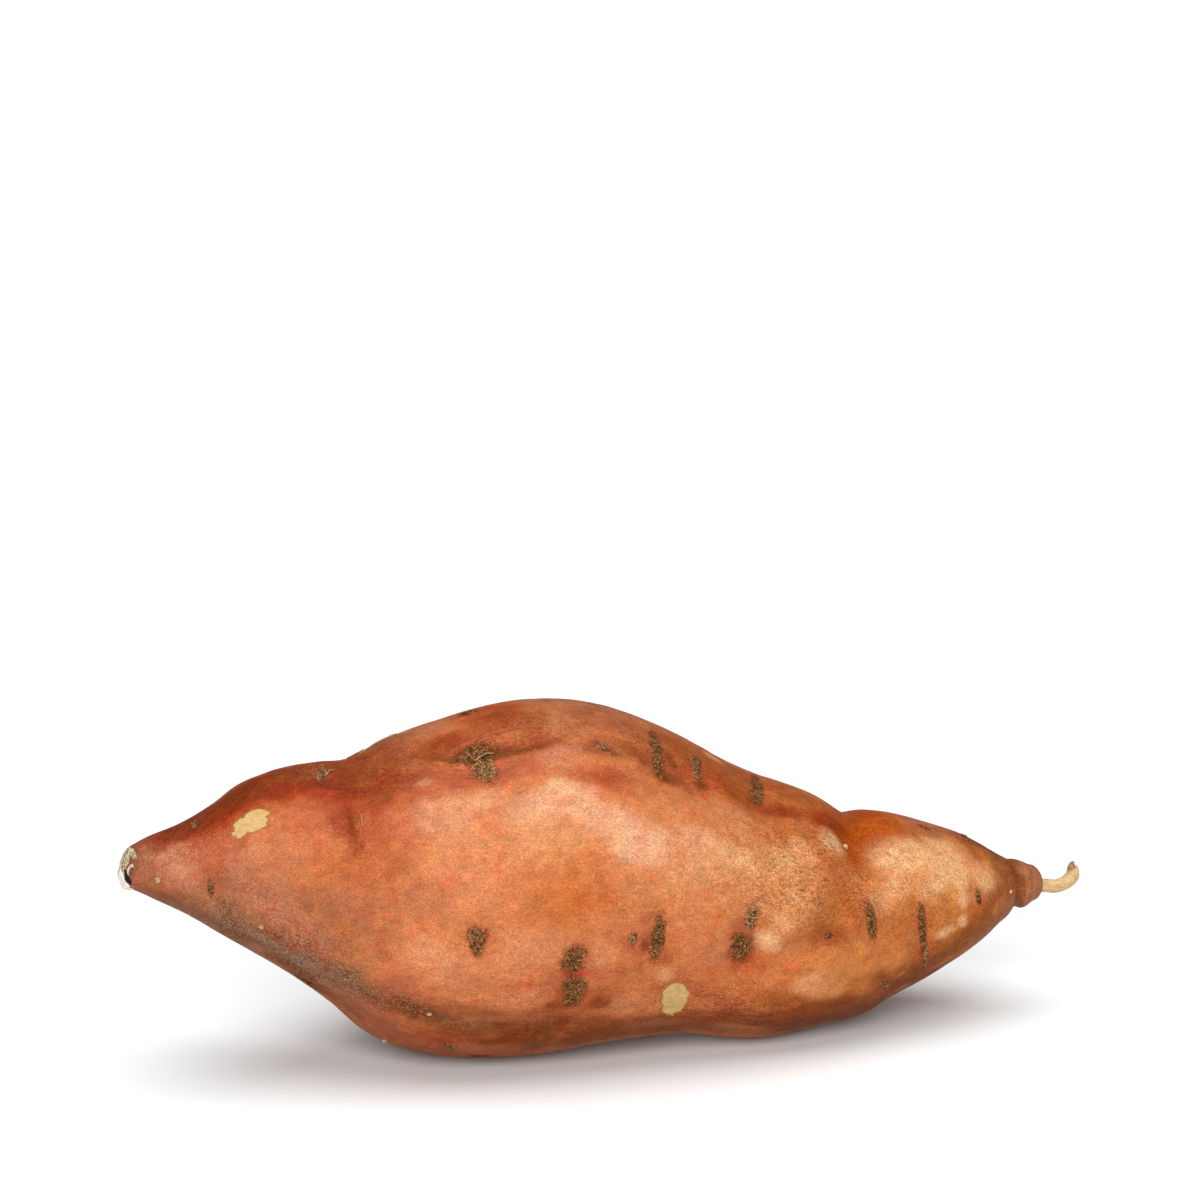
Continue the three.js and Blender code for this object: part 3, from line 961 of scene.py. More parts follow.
@dataclass(frozen=True)
class Skin:
    """The root's whole skin, as one fine closed mesh that carries its painted tones, with painted shade and
    highlights.
    """

    rings: int = 340
    sides: int = 290
    # the flush round each scar: dark red, partly painted shade in the scar's dent
    halo: float = 1.8
    halo_strength: float = 0.4
    fine_wander: float = 0.4
    fine_edge: float = 2.0
    stem_gap: float = 0.25
    wander: tuple[tuple[float, float], ...] = ((8.0, 1.6), (3.0, 0.8), (1.3, 0.4))
    broad: Coat = (
        # the hidden sides; the mahogany underneath is partly painted shade
        (Tone.MAHOGANY_AND_SHADE, ((0, 200, 70, 20, 0.9), (-60, 215, 30, 16, 0.8))),
        (Tone.BRICK, ((-20, 240, 34, 20, 0.8), (-84, 250, 22, 22, 0.8), (10, 300, 26, 12, 0.6))),
        (Tone.TAWNY, ((50, 240, 26, 22, 0.9), (30, 320, 30, 12, 0.7), (-20, 335, 40, 10, 0.7))),
        (Tone.SALMON, ((-40, 280, 18, 15, 0.8), (16, 268, 14, 12, 0.6))),
        (Tone.HONEY, ((62, 275, 16, 14, 0.8), (30, 292, 12, 8, 0.6))),
        (Tone.SALMON, (
            (-40, 68, 13, 12, 0.55), (-48, 103, 8, 6, 0.7), (-12, 92, 8, 6, 0.3), (-30, 100, 7, 5, 0.4),
        )),
        (Tone.PEACH, ((8, 68, 17, 8, 0.95), (-20, 60, 16, 5, 0.85), (20, 47, 6, 4, 0.8))),
        (Tone.HONEY, (
            (30, 61, 9, 7, 0.9), (27, 77, 9, 6, 0.8), (54, 58, 9, 8, 0.75), (69, 31, 7, 4, 0.9),
            (69, 62, 8, 7, 0.95), (80, 46, 5, 5, 0.5), (79, 66, 5, 6, 0.6),
        )),
        (Tone.GOLD, ((45, 105, 10, 7, 1.0), (69, 78, 8, 6, 0.7), (70, 102, 5, 4, 0.6))),
        (Tone.OCHRE, (
            (42, 76, 7, 7, 0.9), (60, 90, 13, 11, 0.85), (46, 119, 10, 5, 0.8), (62, 14, 7, 6, 0.9),
            (43, 47, 7, 5, 0.7), (49, 45, 4, 6, 0.6),
        )),
        (Tone.DEEP_ORANGE, (
            (-19, 84, 10, 8, 0.9), (31, 44, 7, 5, 0.8), (28, 106, 7, 4, 0.6), (18, 118, 9, 5, 0.5),
        )),
        (Tone.BLUSH, ((-97, 76, 9, 9, 1.0), (-86, 70, 7, 6, 0.9), (-79, 76, 6, 5, 0.6))),
        # at (-57, 60) and (-61, 76) the sienna is painted shade along the waist's crease
        (Tone.SIENNA, (
            (-57, 60, 7, 8, 0.85), (-61, 76, 6, 6, 0.7), (6, 118, 9, 5, 0.6), (-39, 119, 6, 3, 0.6),
        )),
        (Tone.CLAY, (
            (-66, 93, 11, 7, 0.9), (-88, 94, 4, 6, 0.8), (-89, 109, 5, 5, 0.8), (0, 13, 8, 5, 0.8),
            (70, 11, 7, 6, 0.9), (-76, 115, 6, 4, 0.5),
        )),
        # dusty grey: along the top edge, at angles 350 to 357, a painted grey sheen; lower down, dusty skin
        (Tone.DUSTY_AND_SHEEN, (
            (-79, 98, 7, 6, 0.85), (-71, 106, 6, 4, 0.5), (-46, 356, 11, 7, 0.9), (-8, 357, 18, 7, 0.9),
            (-18, 170, 20, 10, 0.5), (20, 350, 12, 7, 0.5),
        )),
        (Tone.CORAL, (
            (-42, 33, 9, 5, 1.15), (-24, 32, 11, 4, 1.0), (0, 43, 8, 3, 0.4), (-50, 47, 7, 5, 0.7),
            (-70, 48, 8, 5, 0.6), (-90, 56, 6, 4, 0.5),
        )),
        (Tone.RED, (
            (-62, 36, 9, 5, 1.2), (-99, 116, 7, 6, 0.9), (-55, 145, 10, 8, 0.95), (11, 33, 7, 4, 0.8),
            (-9, 42, 8, 3.2, 1.0), (4, 131, 10, 4, 0.7), (20, 132, 11, 4, 0.8), (38, 36, 6, 3, 0.4),
        )),
        (Tone.RUSSET, (
            (-50, 13, 10, 5, 1.1), (-24, 14, 10, 4, 1.1), (-8, 28, 7, 3, 0.9), (3, 30, 7, 4, 1.1),
            (-48, 121, 10, 3.5, 0.85), (-27, 121, 9, 3.5, 0.85), (-16, 118, 6, 5, 0.7), (-6, 110, 6, 3, 0.4),
        )),
        (Tone.BRICK, (
            (-95, 36, 8, 5, 1.0), (-86, 44, 6, 4, 0.7), (-52, 28, 9, 4.5, 1.2), (-62, 43, 4, 4, 1.0),
            (-53, 2, 8, 4, 0.9), (-20, 22, 6, 2.5, 0.9), (-100, 138, 7, 6, 0.9), (-12, 120, 6, 4, 0.9),
            (-42, 136, 9, 4, 0.9), (-36, 12, 5, 4, 0.5),
        )),
        (Tone.TERRA, ((-27, 2, 6, 6, 1.2), (20, 28, 9, 5, 1.1), (-56, 20, 6, 4, 0.4), (21, 106, 4, 3, 0.8))),
        (Tone.TAWNY, (
            (12, 14, 9, 7, 1.1), (25, 12, 9, 7, 1.1), (31, 27, 9, 4, 1.1), (38, 12, 9, 7, 1.0),
            (61, 28, 5, 4, 0.8), (81, 30, 6, 5, 0.9), (38, 89, 6, 4, 0.85), (83, 90, 6, 9, 0.9),
            (31, 121, 8, 4, 0.9), (45, 64, 3, 5, 0.4),
        )),
        # rust along the top is partly painted shade; at (-60.5, 45) it is painted shade in the waist's
        # crease
        (Tone.RUST, (
            (-74, 6, 15, 7, 1.2), (-60, 13, 9, 6, 1.0), (-40, 13, 6, 3, 1.0), (-60.5, 45, 1.8, 6, 0.9),
            (-57, -3, 9, 5, 1.0), (-28, 8, 5, 3, 1.0),
        )),
        # maroon at the top of the stem end: a dark red, partly painted shade
        (Tone.MAROON, ((-98, 6, 10, 7, 1.0), (-86, 5, 11, 6, 0.9), (-96, 345, 10, 8, 0.9))),
        (Tone.CRIMSON, (
            (-83, 24, 9, 3.6, 1.1), (-69, 26, 9, 3.8, 1.2), (-94, 25, 7, 3, 1.0), (-56, 25, 5, 2.5, 0.9),
        )),
        (Tone.DUST, (
            (-86, 133, 10, 10, 0.95), (-61, 124, 9, 5, 1.0), (-72, 124, 8, 5, 0.8), (-60, 134, 5, 4, 0.6),
            (-88, 160, 10, 8, 0.8),
        )),
        (Tone.ASH, ((-71, 138, 8, 6, 0.95), (-77, 131, 6, 4, 0.6))),
        (Tone.AMBER, (
            (54, 12, 6, 10, 1.25), (48, 31, 5, 6, 1.1), (55, 26, 5, 5, 1.1), (54, 350, 6, 8, 0.9),
            (50, 300, 5, 14, 0.7), (45, 18, 4, 4, 0.8),
        )),
        (Tone.DARK_AMBER, (
            (49.5, 30, 5, 3, 1.2), (43, 29, 5, 2.5, 0.9), (48, 36, 2.6, 4, 1.1), (48, 270, 4, 12, 0.5),
            (34, 27, 8, 2, 0.9), (50, 12, 2, 7, 0.5),
        )),
        # these rows darken the root mostly along its bottom: partly its own browns, partly painted shade
        (Tone.BRONZE, (
            (80, 109, 8, 7, 1.1), (70, 123, 11, 7, 1.1), (57, 125, 7, 4, 1.1), (43, 126, 8, 3, 1.1),
            (54, 112.5, 4, 2.5, 0.9),
        )),
        (Tone.UMBER, (
            (-26, 134, 12, 4, 1.1), (33, 135, 13, 5, 1.2), (63, 139, 9, 7, 1.2), (-71, 155, 5, 4, 0.8),
            (47, 138, 12, 5, 1.1),
        )),
        (Tone.MAHOGANY_AND_SHADE, (
            (-9, 138, 9, 5, 1.1), (10, 141, 12, 5, 1.1), (-26, 150, 16, 6, 0.6), (-44, 156, 8, 6, 0.7),
        )),
        (Tone.BARK, (
            (83, 10, 8, 8, 0.9), (48, 138, 10, 5, 0.7), (-68, 152, 8, 3.5, 0.9), (-84, 149, 8, 4, 0.8),
            (-97, 146, 6, 4, 0.7),
        )),
        # cocoa: painted shade along the lower crease and the bottom
        (Tone.COCOA_SHADE, (
            (-50, 125.5, 9, 2.4, 1.1), (-37, 128, 9, 2.6, 1.2), (-22, 129.5, 8, 2.4, 1.1),
            (-17, 140, 12, 4, 1.0), (30, 139, 24, 5, 0.8), (58, 141, 10, 4, 0.9), (4, 141, 14, 4, 0.7),
        )),
        (Tone.MAUVE, tuple((95.5, angle, 4.5, 14, 1.2) for angle in (0, 75, 150, 225, 295))),
        # cocoa ring: painted shade in the groove at the neck
        (Tone.COCOA_SHADE, (
            (90.0, 20, 1.6, 9, 0.9), (90.0, 75, 1.6, 9, 0.9), (90.3, 130, 1.5, 9, 1.0),
            (90.6, 200, 1.5, 14, 0.9), (90.4, 290, 1.5, 14, 0.9),
        )),
    )
    fine: Coat = (
        # rose on the upper front is a painted highlight; lower down it is pink skin
        (Tone.ROSE_AND_SHEEN, (
            (-42, 47, 7, 5, 0.6), (-26, 51, 7, 4, 0.6), (-19, 49, 7, 4, 0.9), (-10, 57, 6, 4, 0.6),
            (-3, 64, 6, 4.5, 0.75), (-17, 31, 5, 4, 0.35), (-46, 98, 5, 4, 0.3), (-96, 62, 4, 5, 0.5),
            (12, 60, 4, 3, 0.3), (-5, 123, 4, 3, 0.35), (13, 104, 3, 3, 0.3),
        )),
        (Tone.BISQUE, (
            (-12, 15, 6, 4, 0.8), (-38, 126, 6, 2.5, 0.3), (-66, 14, 3, 3, 0.4), (68, 8, 3, 3, 0.4),
        )),
        (Tone.CORAL, (
            (-4, 100, 4, 3, 0.6), (-27, 112, 7, 4, 0.6), (-24, 126, 6, 3, 0.4), (-52, 112, 7, 4, 0.6),
            (11, 106, 5, 4, 0.4), (-70, 112, 7, 3, 0.4),
        )),
        (Tone.SCARLET, (
            (-17, 109.5, 3, 1.6, 0.9), (-4, 101.5, 2.4, 1.4, 0.6), (76.2, 74, 1, 1.6, 0.8),
            (-73, 123, 1.6, 1.8, 0.8), (-98, 12, 3, 3, 0.5), (-94, 15, 2.5, 3, 0.6), (-65, 22, 3, 3, 0.4),
        )),
        # mahogany lines: painted shade along creases and in dents by the scars
        (Tone.MAHOGANY_AND_SHADE, (
            (-27, 23.5, 5, 1.3, 0.9), (-18, 24, 4, 1.0, 0.7), (7, 36, 4, 1.8, 0.9), (-8, 41, 4, 1.2, 0.4),
            (-38, 18.5, 5, 1.2, 0.8), (-78, 120, 3, 1.6, 0.6), (22, 31, 4, 2, 0.4), (18, 104, 4, 1.5, 0.4),
            (47, 45, 2, 5, 0.5), (30, 129, 10, 2, 0.4), (2, 107, 1.4, 2.5, 0.5), (-20, 118, 2, 4, 0.4),
            (41, 86, 3, 2.5, 0.4), (35, 131, 10, 3, 0.5),
        )),
        (Tone.GARNET, (
            (-65, 20.5, 5, 2.0, 1.0), (-92, 21.5, 5, 2.2, 1.0), (-80, 21, 6, 1.8, 1.0),
            (-57, 25.5, 4, 1.8, 0.9), (-99, 28.5, 3, 2.4, 0.9), (-86, 23, 4, 1.6, 0.7),
            (-72, 23, 5, 1.8, 0.8), (-75, 27, 2.4, 1.2, 0.6),
        )),
        # cocoa: painted shade in creases and in dents by the scars
        (Tone.COCOA_SHADE, (
            (-28.5, 24, 4, 1.2, 1.2), (-23, 23.5, 4, 1.0, 0.8), (-36.8, 19.2, 2.4, 1.4, 1.0),
            (7, 35.4, 3.5, 1.3, 1.1), (27.3, 23.5, 1.2, 2.4, 0.9), (8.4, 25, 1.0, 3.6, 0.8),
            (66.6, 122, 1.0, 2.4, 1.0), (-34, 119.6, 3, 1.4, 0.8), (14.5, 33.5, 1.6, 1.4, 0.8),
            (-4.6, 31.5, 1.2, 1.2, 0.5), (53, 34, 1.2, 3.6, 0.6),
        )),
        # maroon: painted shade in the dents beside two scars
        (Tone.MAROON, ((-2, 101, 1.2, 1.6, 0.7), (-22, 121, 1.4, 2, 0.5), (-11, 121, 2.4, 2, 0.7))),
        (Tone.OCHRE, (
            (81.4, 34, 3, 2.4, 0.8), (74, 32, 3.2, 2.6, 0.8), (84, 97, 2.6, 2.6, 0.8),
            (70, 132, 3.4, 1.8, 0.7), (58, 121.6, 2, 1.4, 0.7),
        )),
        (Tone.PEACH, ((21, 8, 2.4, 1.8, 0.8), (75.8, 77, 1.4, 1.6, 0.7), (60, 141, 3, 1.2, 0.4))),
        # pink: painted highlights, the sheen on the upper front
        (Tone.PINK_SHEEN, (
            (-17, 50, 7, 4, 0.55), (-3.5, 66, 6, 4.5, 0.6), (-9, 58, 5, 3, 0.4), (-33, 44, 4, 2.4, 0.3),
            (9, 60, 5, 3, 0.35),
        )),
        (Tone.SALMON, (
            (-25.5, 97, 8, 5, 0.9), (-29, 115, 6, 3, 0.8), (-2, 129, 5, 2, 0.7), (-79, 100, 5, 3.4, 0.35),
            (-91.5, 100, 5, 4, 0.2), (-59, 134, 4, 2, 0.3), (22, 141, 6, 1.8, 0.3),
        )),
        (Tone.GOLD, ((41, 117.5, 4, 2.4, 0.8), (57, 101, 4, 3, 0.4))),
        (Tone.CORAL, (
            (-88, 55, 6, 4, 0.5), (-2, 129.5, 4, 2.4, 0.8), (-41, 36, 5, 3, 0.5), (-12, 110, 3, 2, 0.5),
            (-40, 106, 5, 4, 0.3), (13, 124, 4, 2, 0.4), (-57, 134, 3, 2.4, 0.5),
        )),
        (Tone.PEACH, (
            (36, 112.5, 4.4, 3.2, 1.0), (-12.4, 104, 1.8, 2.2, 0.7), (-10.4, 100, 1.4, 1.4, 0.6),
            (-13, 98.5, 1.6, 1.2, 0.5), (22, 79, 2.4, 2, 0.5),
        )),
        (Tone.RUSSET, ((-6.5, 9, 6, 4, 0.7), (-27, 46, 4, 2, 0.25))),
        # maroon along the top: partly painted shade
        (Tone.MAROON, ((-94, 13, 6, 3, 0.8), (-82, 14, 6, 3, 0.6), (-70, 12, 5, 3, 0.5))),
        (Tone.DEEP_ORANGE, ((-49, 77, 6, 4, 0.8), (-73, 66, 6, 4, 0.6), (-64, 71, 6, 4, 0.8))),
        (Tone.TOPAZ, ((53, 20, 5, 7, 1.0), (51, 31, 2.4, 4, 0.6), (58, 22, 5, 4, 0.5))),
        (Tone.AMBER, ((48, 41.5, 3, 4.4, 0.9), (56, 15, 5, 4, 0.3))),
        (Tone.MAHOGANY_AND_SHADE, ((-52.5, 27.5, 5, 2.4, 0.6), (-46, 22, 5, 2, 0.4))),
        (Tone.SIENNA, (
            (-64, 69.5, 7, 4, 0.45), (-49, 77, 6, 4, 0.35), (-88, 55, 6, 4, 0.3), (-73, 64, 6, 4, 0.2),
        )),
        (Tone.ORANGE, ((-2, 129, 6, 2.6, 0.95), (10, 128, 6, 2.2, 0.5))),
        (Tone.DUSTY_AND_SHEEN, ((22, 141.5, 7, 2.2, 0.5), (-53, 143, 6, 2.2, 0.35), (4, 139, 8, 1.6, 0.4))),
        (Tone.RED, ((-88, 55, 6, 4, 0.4), (-36, 34, 4, 2.4, 0.3), (-56, 40, 3, 6, 0.3))),
        (Tone.CLAY, ((-53, 143, 6, 2.4, 0.4), (22, 141.5, 6, 2.2, 0.6))),
        (Tone.MAUVE, ((93, 78, 2.4, 26, 0.5), (-102, 70, 3, 8, 0.5), (-103, 30, 3, 8, 0.5))),
        (Tone.HONEY, ((40.5, 117.5, 4, 3, 0.5), (65, 67.5, 4, 4, 0.4), (30.5, 61, 4, 3, 0.3))),
        (Tone.OCHRE, ((55.5, 58, 3, 3, 0.5), (57, 56, 3, 2.4, 0.4))),
        (Tone.BLUSH, (
            (-79, 100, 6, 4, 0.4), (-72, 109, 6, 4, 0.4), (-98, 71, 6, 5, 0.4), (-41, 106, 5, 4, 0.3),
            (-49, 77, 6, 4, 0.5), (-73, 63, 6, 4, 0.4), (-88, 56, 5, 4, 0.25), (-60, 84, 8, 5, 0.25),
        )),
        (Tone.BISQUE, ((92.3, 60, 0.5, 14, 0.7), (94.2, 70, 0.5, 14, 0.6), (95.9, 60, 0.5, 14, 0.5))),
        # straw: pale rubbed skin, and painted highlights on the front and the right
        (Tone.STRAW_AND_SHEEN, (
            (-19, 44, 2.2, 1.6, 0.9), (43, 41, 2.8, 3.6, 0.8), (35, 51, 2.8, 3.2, 0.8), (30, 57, 4, 3, 0.45),
            (25, 92, 3.2, 2.6, 0.8), (19, 63, 5, 3.4, 0.6), (11, 68, 6, 4, 0.3), (35, 111, 3, 2.4, 0.2),
            (60, 44, 8, 5, 0.8), (70, 48, 6, 6, 0.8), (57, 62, 4, 3, 0.6), (67, 62, 2.5, 3.5, 0.7),
            (63, 68, 1.5, 2, 0.6), (73.5, 63, 1.9, 2.4, 0.9), (73.5, 78, 1.5, 2.4, 1.0),
            (80, 60, 3, 3.6, 0.8), (69, 99.5, 2.4, 1.5, 0.9), (73.3, 95, 1.3, 1.7, 0.9), (28, 83, 3, 2, 0.4),
            (-45, 31, 2, 1.2, 0.4), (60, 290, 14, 8, 0.5), (24, 312, 10, 6, 0.4), (-30, 262, 8, 6, 0.35),
            (2, 113, 2, 2, 0.35), (-19, 52, 3, 1.5, 0.3), (32, 72, 4, 2, 0.35), (52, 70, 3, 3, 0.3),
        )),
    )
    speckled: tuple[Row, ...] = (
        (-10, 138, 20, 5, 0.6), (30, 136, 24, 5, 0.7), (-46, 141, 14, 6, 0.5), (52, 128, 14, 6, 0.6),
        (-29, 115, 9, 5, 0.4), (53, 20, 6, 12, 0.6), (-20, 18, 14, 6, 0.7), (-90, 16, 14, 8, 0.8),
        (34, 62, 15, 15, 0.9), (24, 74, 10, 8, 0.7), (40, 48, 9, 8, 1.0), (46, 66, 6, 9, 1.0),
        (62, 70, 16, 14, 0.4), (20, 128, 22, 7, 0.9), (-24, 130, 14, 5, 0.8), (-72, 130, 18, 10, 0.8),
        (-54, 20, 12, 7, 0.9), (-76, 12, 14, 6, 0.7), (50, 240, 30, 26, 0.7), (66, 120, 14, 9, 0.7),
        (8, 24, 16, 8, 0.7), (-36, 20, 10, 5, 0.8), (-60, 46, 5, 8, 0.6), (86, 90, 6, 20, 0.6),
        (-40, 240, 30, 30, 0.6),
    )
    dusty: tuple[Row, ...] = (
        (-12.6, 104.5, 2.8, 2.6, 0.5), (22, 77.5, 2.4, 1.6, 0.5), (-5.6, 26, 2.0, 1.2, 0.5),
        (14, 22, 1.4, 1.4, 0.5), (2.5, 132.5, 5, 1.0, 0.35), (20, 131.5, 12, 0.8, 0.35),
        (28, 137, 12, 0.9, 0.3), (-84, 130, 9, 8, 0.7), (-72, 136, 9, 10, 1.0), (-62, 127, 7, 6, 0.9),
        (-52, 123, 8, 3.5, 0.7), (-42, 125, 8, 3, 0.45), (-80, 96, 8, 6, 0.35), (-64, 0, 8, 5, 0.35),
        (-47, 358, 8, 8, 0.4), (-10, 0, 12, 5, 0.3), (43, 41, 2.4, 3, 0.4), (-64, 12, 3, 3, 0.4),
        (-70, 190, 24, 16, 0.7), (30, 225, 20, 10, 0.5), (-30, 170, 14, 8, 0.5), (10, 335, 16, 6, 0.4),
        (-66, 104, 8, 5, 0.3),
    )

    def share(self, form: RootForm, rows: Sequence[Sequence[float]], x: Array, angle: Array) -> Array:
        """Adds up soft patches into one mask.

        Args:
            form: the root's shape.
            rows: each patch's place, half sizes and strength.
            x: places along the root.
            angle: angles round it.

        Returns:
            The mask, from 0 to 1.
        """
        radius = form.radius_at(x, angle)
        total = np.zeros(radius.shape)
        for place, middle, along, round_, strength in rows:
            u, v = (x - place) / along, arc(angle, middle, radius) / round_
            total = np.maximum(total, strength * np.exp(-((u * u + v * v) ** Patch.edge)))
        return total

    def patches(self, scars: Sequence[Spot]) -> list[Patch]:
        """Lists the patches of tone from the broad ones to the fine ones, with a flush round each scar that
        is partly painted shade in its dent.

        Args:
            scars: the scars.

        Returns:
            Every patch, in the order that they are painted.
        """
        broad = [Patch(tone, *row) for tone, rows in self.broad for row in rows]
        fine = [
            Patch(tone, *row, self.fine_wander, self.fine_edge) for tone, rows in self.fine for row in rows
        ]
        # a dark red flush round each scar, partly painted shade in its dent
        halos = [
            Patch(Tone.FLUSH, s.x, s.angle, s.along + self.halo, s.round + self.halo, self.halo_strength)
            for s in scars
        ]
        return broad + halos + fine

    def marks(self, form: RootForm, x: Array, angle: Array, scars: Sequence[Spot]) -> dict[str, Array]:
        """Paints the skin and works out what else its shader reads at each point.

        Args:
            form: the root's shape.
            x: places along the root.
            angle: angles round it.
            scars: the scars.

        Returns:
            The tone, the specks' and the dust's strength, by attribute name.
        """
        place = form.surface(x, angle)
        radius = form.radius_at(x, angle)
        along, around = (
            sum(far * form.uneven.at(place + shift, size) for size, far in self.wander) for shift in (11, 37)
        )
        around = np.degrees(around / radius)
        near = x + along, angle + around
        tone = np.broadcast_to(np.array(Tone.ORANGE.value), (*radius.shape, 3)).copy()
        patchy = 1 + 0.3 * form.uneven.at(place + 5, 3.4) + 0.25 * form.uneven.at(place + 9, 1.5)
        for patch in self.patches(scars):
            u = (x + patch.wander * along - patch.x) / patch.along
            v = arc(angle + patch.wander * around, patch.angle, radius) / patch.round
            share = np.clip(patch.strength * np.exp(-((u * u + v * v) ** patch.edge)) * patchy, 0, 1)
            tone += share[..., None] * (np.array(patch.tone.value) - tone)
        specks = self.share(form, self.speckled, *near)
        dust = np.clip(self.share(form, self.dusty, *near) * (2 * patchy - 1), 0, 1)
        return {"tone": tone.reshape(-1, 3), "specks": specks.ravel(), "dust": dust.ravel()}

    def places_along(self, form: RootForm) -> Array:
        """Spaces the rings evenly along the root's outline.

        Args:
            form: the root's shape.

        Returns:
            Each ring's x.
        """
        share = (1 - np.cos(np.linspace(0, np.pi, 4001))) / 2
        x = form.stem_end_x + (form.neck_end_x - form.stem_end_x) * share
        half = (form.outline(Side.TOP, x) - form.outline(Side.BOTTOM, x)) / 2 * form.rounding(x)
        run = np.concatenate([[0], np.cumsum(np.hypot(np.diff(x), np.diff(half)))])
        return np.interp((np.arange(self.rings) + 0.5) / self.rings * run[-1], run, x)

    def build(
        self,
        form: RootForm,
        scars: Sequence[Spot],
        dip: Callable[[Array, Array], Array],
        stem_face: Callable[[Array, Array], Array],
    ) -> Piece:
        """Makes the skin.

        Args:
            form: the root's shape.
            scars: the scars that it flushes round.
            dip: how far it lies below the root's surface at places and angles, in mm.
            stem_face: where the stem's broken face lies along the root at each y and z, in mm.

        Returns:
            The piece.
        """
        angles = np.arange(self.sides) * 360 / self.sides
        x, angle = np.meshgrid(self.places_along(form), angles, indexing="ij")
        points = form.raised(x, angle, -dip(x, angle))
        stem = stem_face(points[..., 1], points[..., 2]) + self.stem_gap
        points[..., 0] = np.maximum(points[..., 0], stem)
        faces = [f[::-1] for f in grid_faces(self.rings, self.sides, True)]
        first, last = self.rings * self.sides, self.rings * self.sides + 1
        bottom = (self.rings - 1) * self.sides
        for k in range(self.sides):
            after = (k + 1) % self.sides
            faces += [(first, after, k), (last, bottom + k, bottom + after)]
        marks = self.marks(form, x, angle, scars)
        for key, values in marks.items():
            marks[key] = np.concatenate([values, values[:1], values[-1:]])
        ends = [points[0].mean(0), points[-1].mean(0)]
        return write_piece("skin", np.concatenate([points.reshape(-1, 3), ends]), faces, marks)

    def dress(self, piece: Piece) -> None:
        """Finishes the skin."""
        set_out(piece, SkinFinish().material())


@dataclass(frozen=True)
class LaidSpots:
    """Fine patches that lie on the skin and carry its tints, so that a spot's edge runs into the skin."""

    name: str
    spots: tuple[Spot, ...]
    seed: int
    grain: float = 0.21
    reach: float = 1.5
    skin_gap: float = 0.03
    rim_depth: float = 0.35
    squareness: float = 2.4
    raggedness: tuple[tuple[float, float], ...] = ((1.7, 0.2), (0.8, 0.16))

    def spread(self, form: RootForm, spot: Spot) -> tuple[Array, Array, Array, Array]:
        """Lays a grid over one spot.

        Args:
            form: the root's shape.
            spot: the spot.

        Returns:
            Each point's share of the spot's half length and half width, its x and its angle.
        """
        half_sizes = spot.round, spot.along
        rows, columns = (max(10, int(2 * size * self.reach / self.grain)) for size in half_sizes)
        across, down = (np.linspace(-self.reach, self.reach, count) for count in (columns, rows))
        u, v = np.meshgrid(down, across, indexing="ij")
        lean = math.radians(spot.lean)
        radius = form.radius_at(np.array([spot.x]), np.array([spot.angle]))[0]
        x = spot.x + v * spot.along * math.cos(lean) - u * spot.round * math.sin(lean)
        turn = u * spot.round * math.cos(lean) + v * spot.along * math.sin(lean)
        return u, v, x, spot.angle + np.degrees(turn / radius)

    def height(self, spot: Spot, off: Array, place: Array, uneven: Unevenness) -> Array:
        """Says how far a spot stands off the skin.

        Args:
            spot: the spot.
            off: how far off its middle each point is, with 1 at its edge.
            place: each point's place.
            uneven: the noise that its face is rough with.

        Returns:
            Each point's height, in mm.
        """
        raise NotImplementedError

    def build(self, form: RootForm, skin: Skin, scars: Sequence[Spot]) -> Piece:
        """Joins every spot into one piece.

        Args:
            form: the root's shape.
            skin: the skin, for its tints.
            scars: the scars that the skin flushes round.

        Returns:
            The piece.
        """
        uneven = Unevenness(self.seed)
        points, faces, places, angles, covers, pales, count = [], [], [], [], [], [], 0
        for spot in self.spots:
            u, v, x, angle = self.spread(form, spot)
            place = form.surface(x, angle)
            narrowing = 1 - spot.taper * u / 2
            square = self.squareness
            off = (np.abs(u) ** square + np.abs(v / narrowing) ** square) ** (1 / square)
            off += sum(amount * uneven.at(place, size) for size, amount in self.raggedness)
            rim = np.hypot(u, v) / self.reach
            height = self.skin_gap + self.height(spot, off, place, uneven)
            height -= self.rim_depth * soft_step(rim, 0.86, 1.0)
            kept = (rim < 1.0).ravel()
            rows, columns = u.shape
            patch_faces = [f for f in grid_faces(rows, columns, False) if all(kept[k] for k in f)]
            used = np.unique(patch_faces)
            number = dict(zip(used.tolist(), range(count, count + len(used))))
            faces += [tuple(number[k] for k in f) for f in patch_faces]
            points.append(form.raised(x, angle, height).reshape(-1, 3)[used])
            places.append(x.ravel()[used])
            angles.append(angle.ravel()[used])
            covers.append(np.clip(2 * (1.0 - off), -1, 1).ravel()[used])
            pales.append(np.full(len(used), spot.pale))
            count += len(used)
        marks = skin.marks(form, np.concatenate(places), np.concatenate(angles), scars)
        marks |= {"cover": np.concatenate(covers), "pale": np.concatenate(pales)}
        return write_piece(self.name, np.concatenate(points), faces, marks)


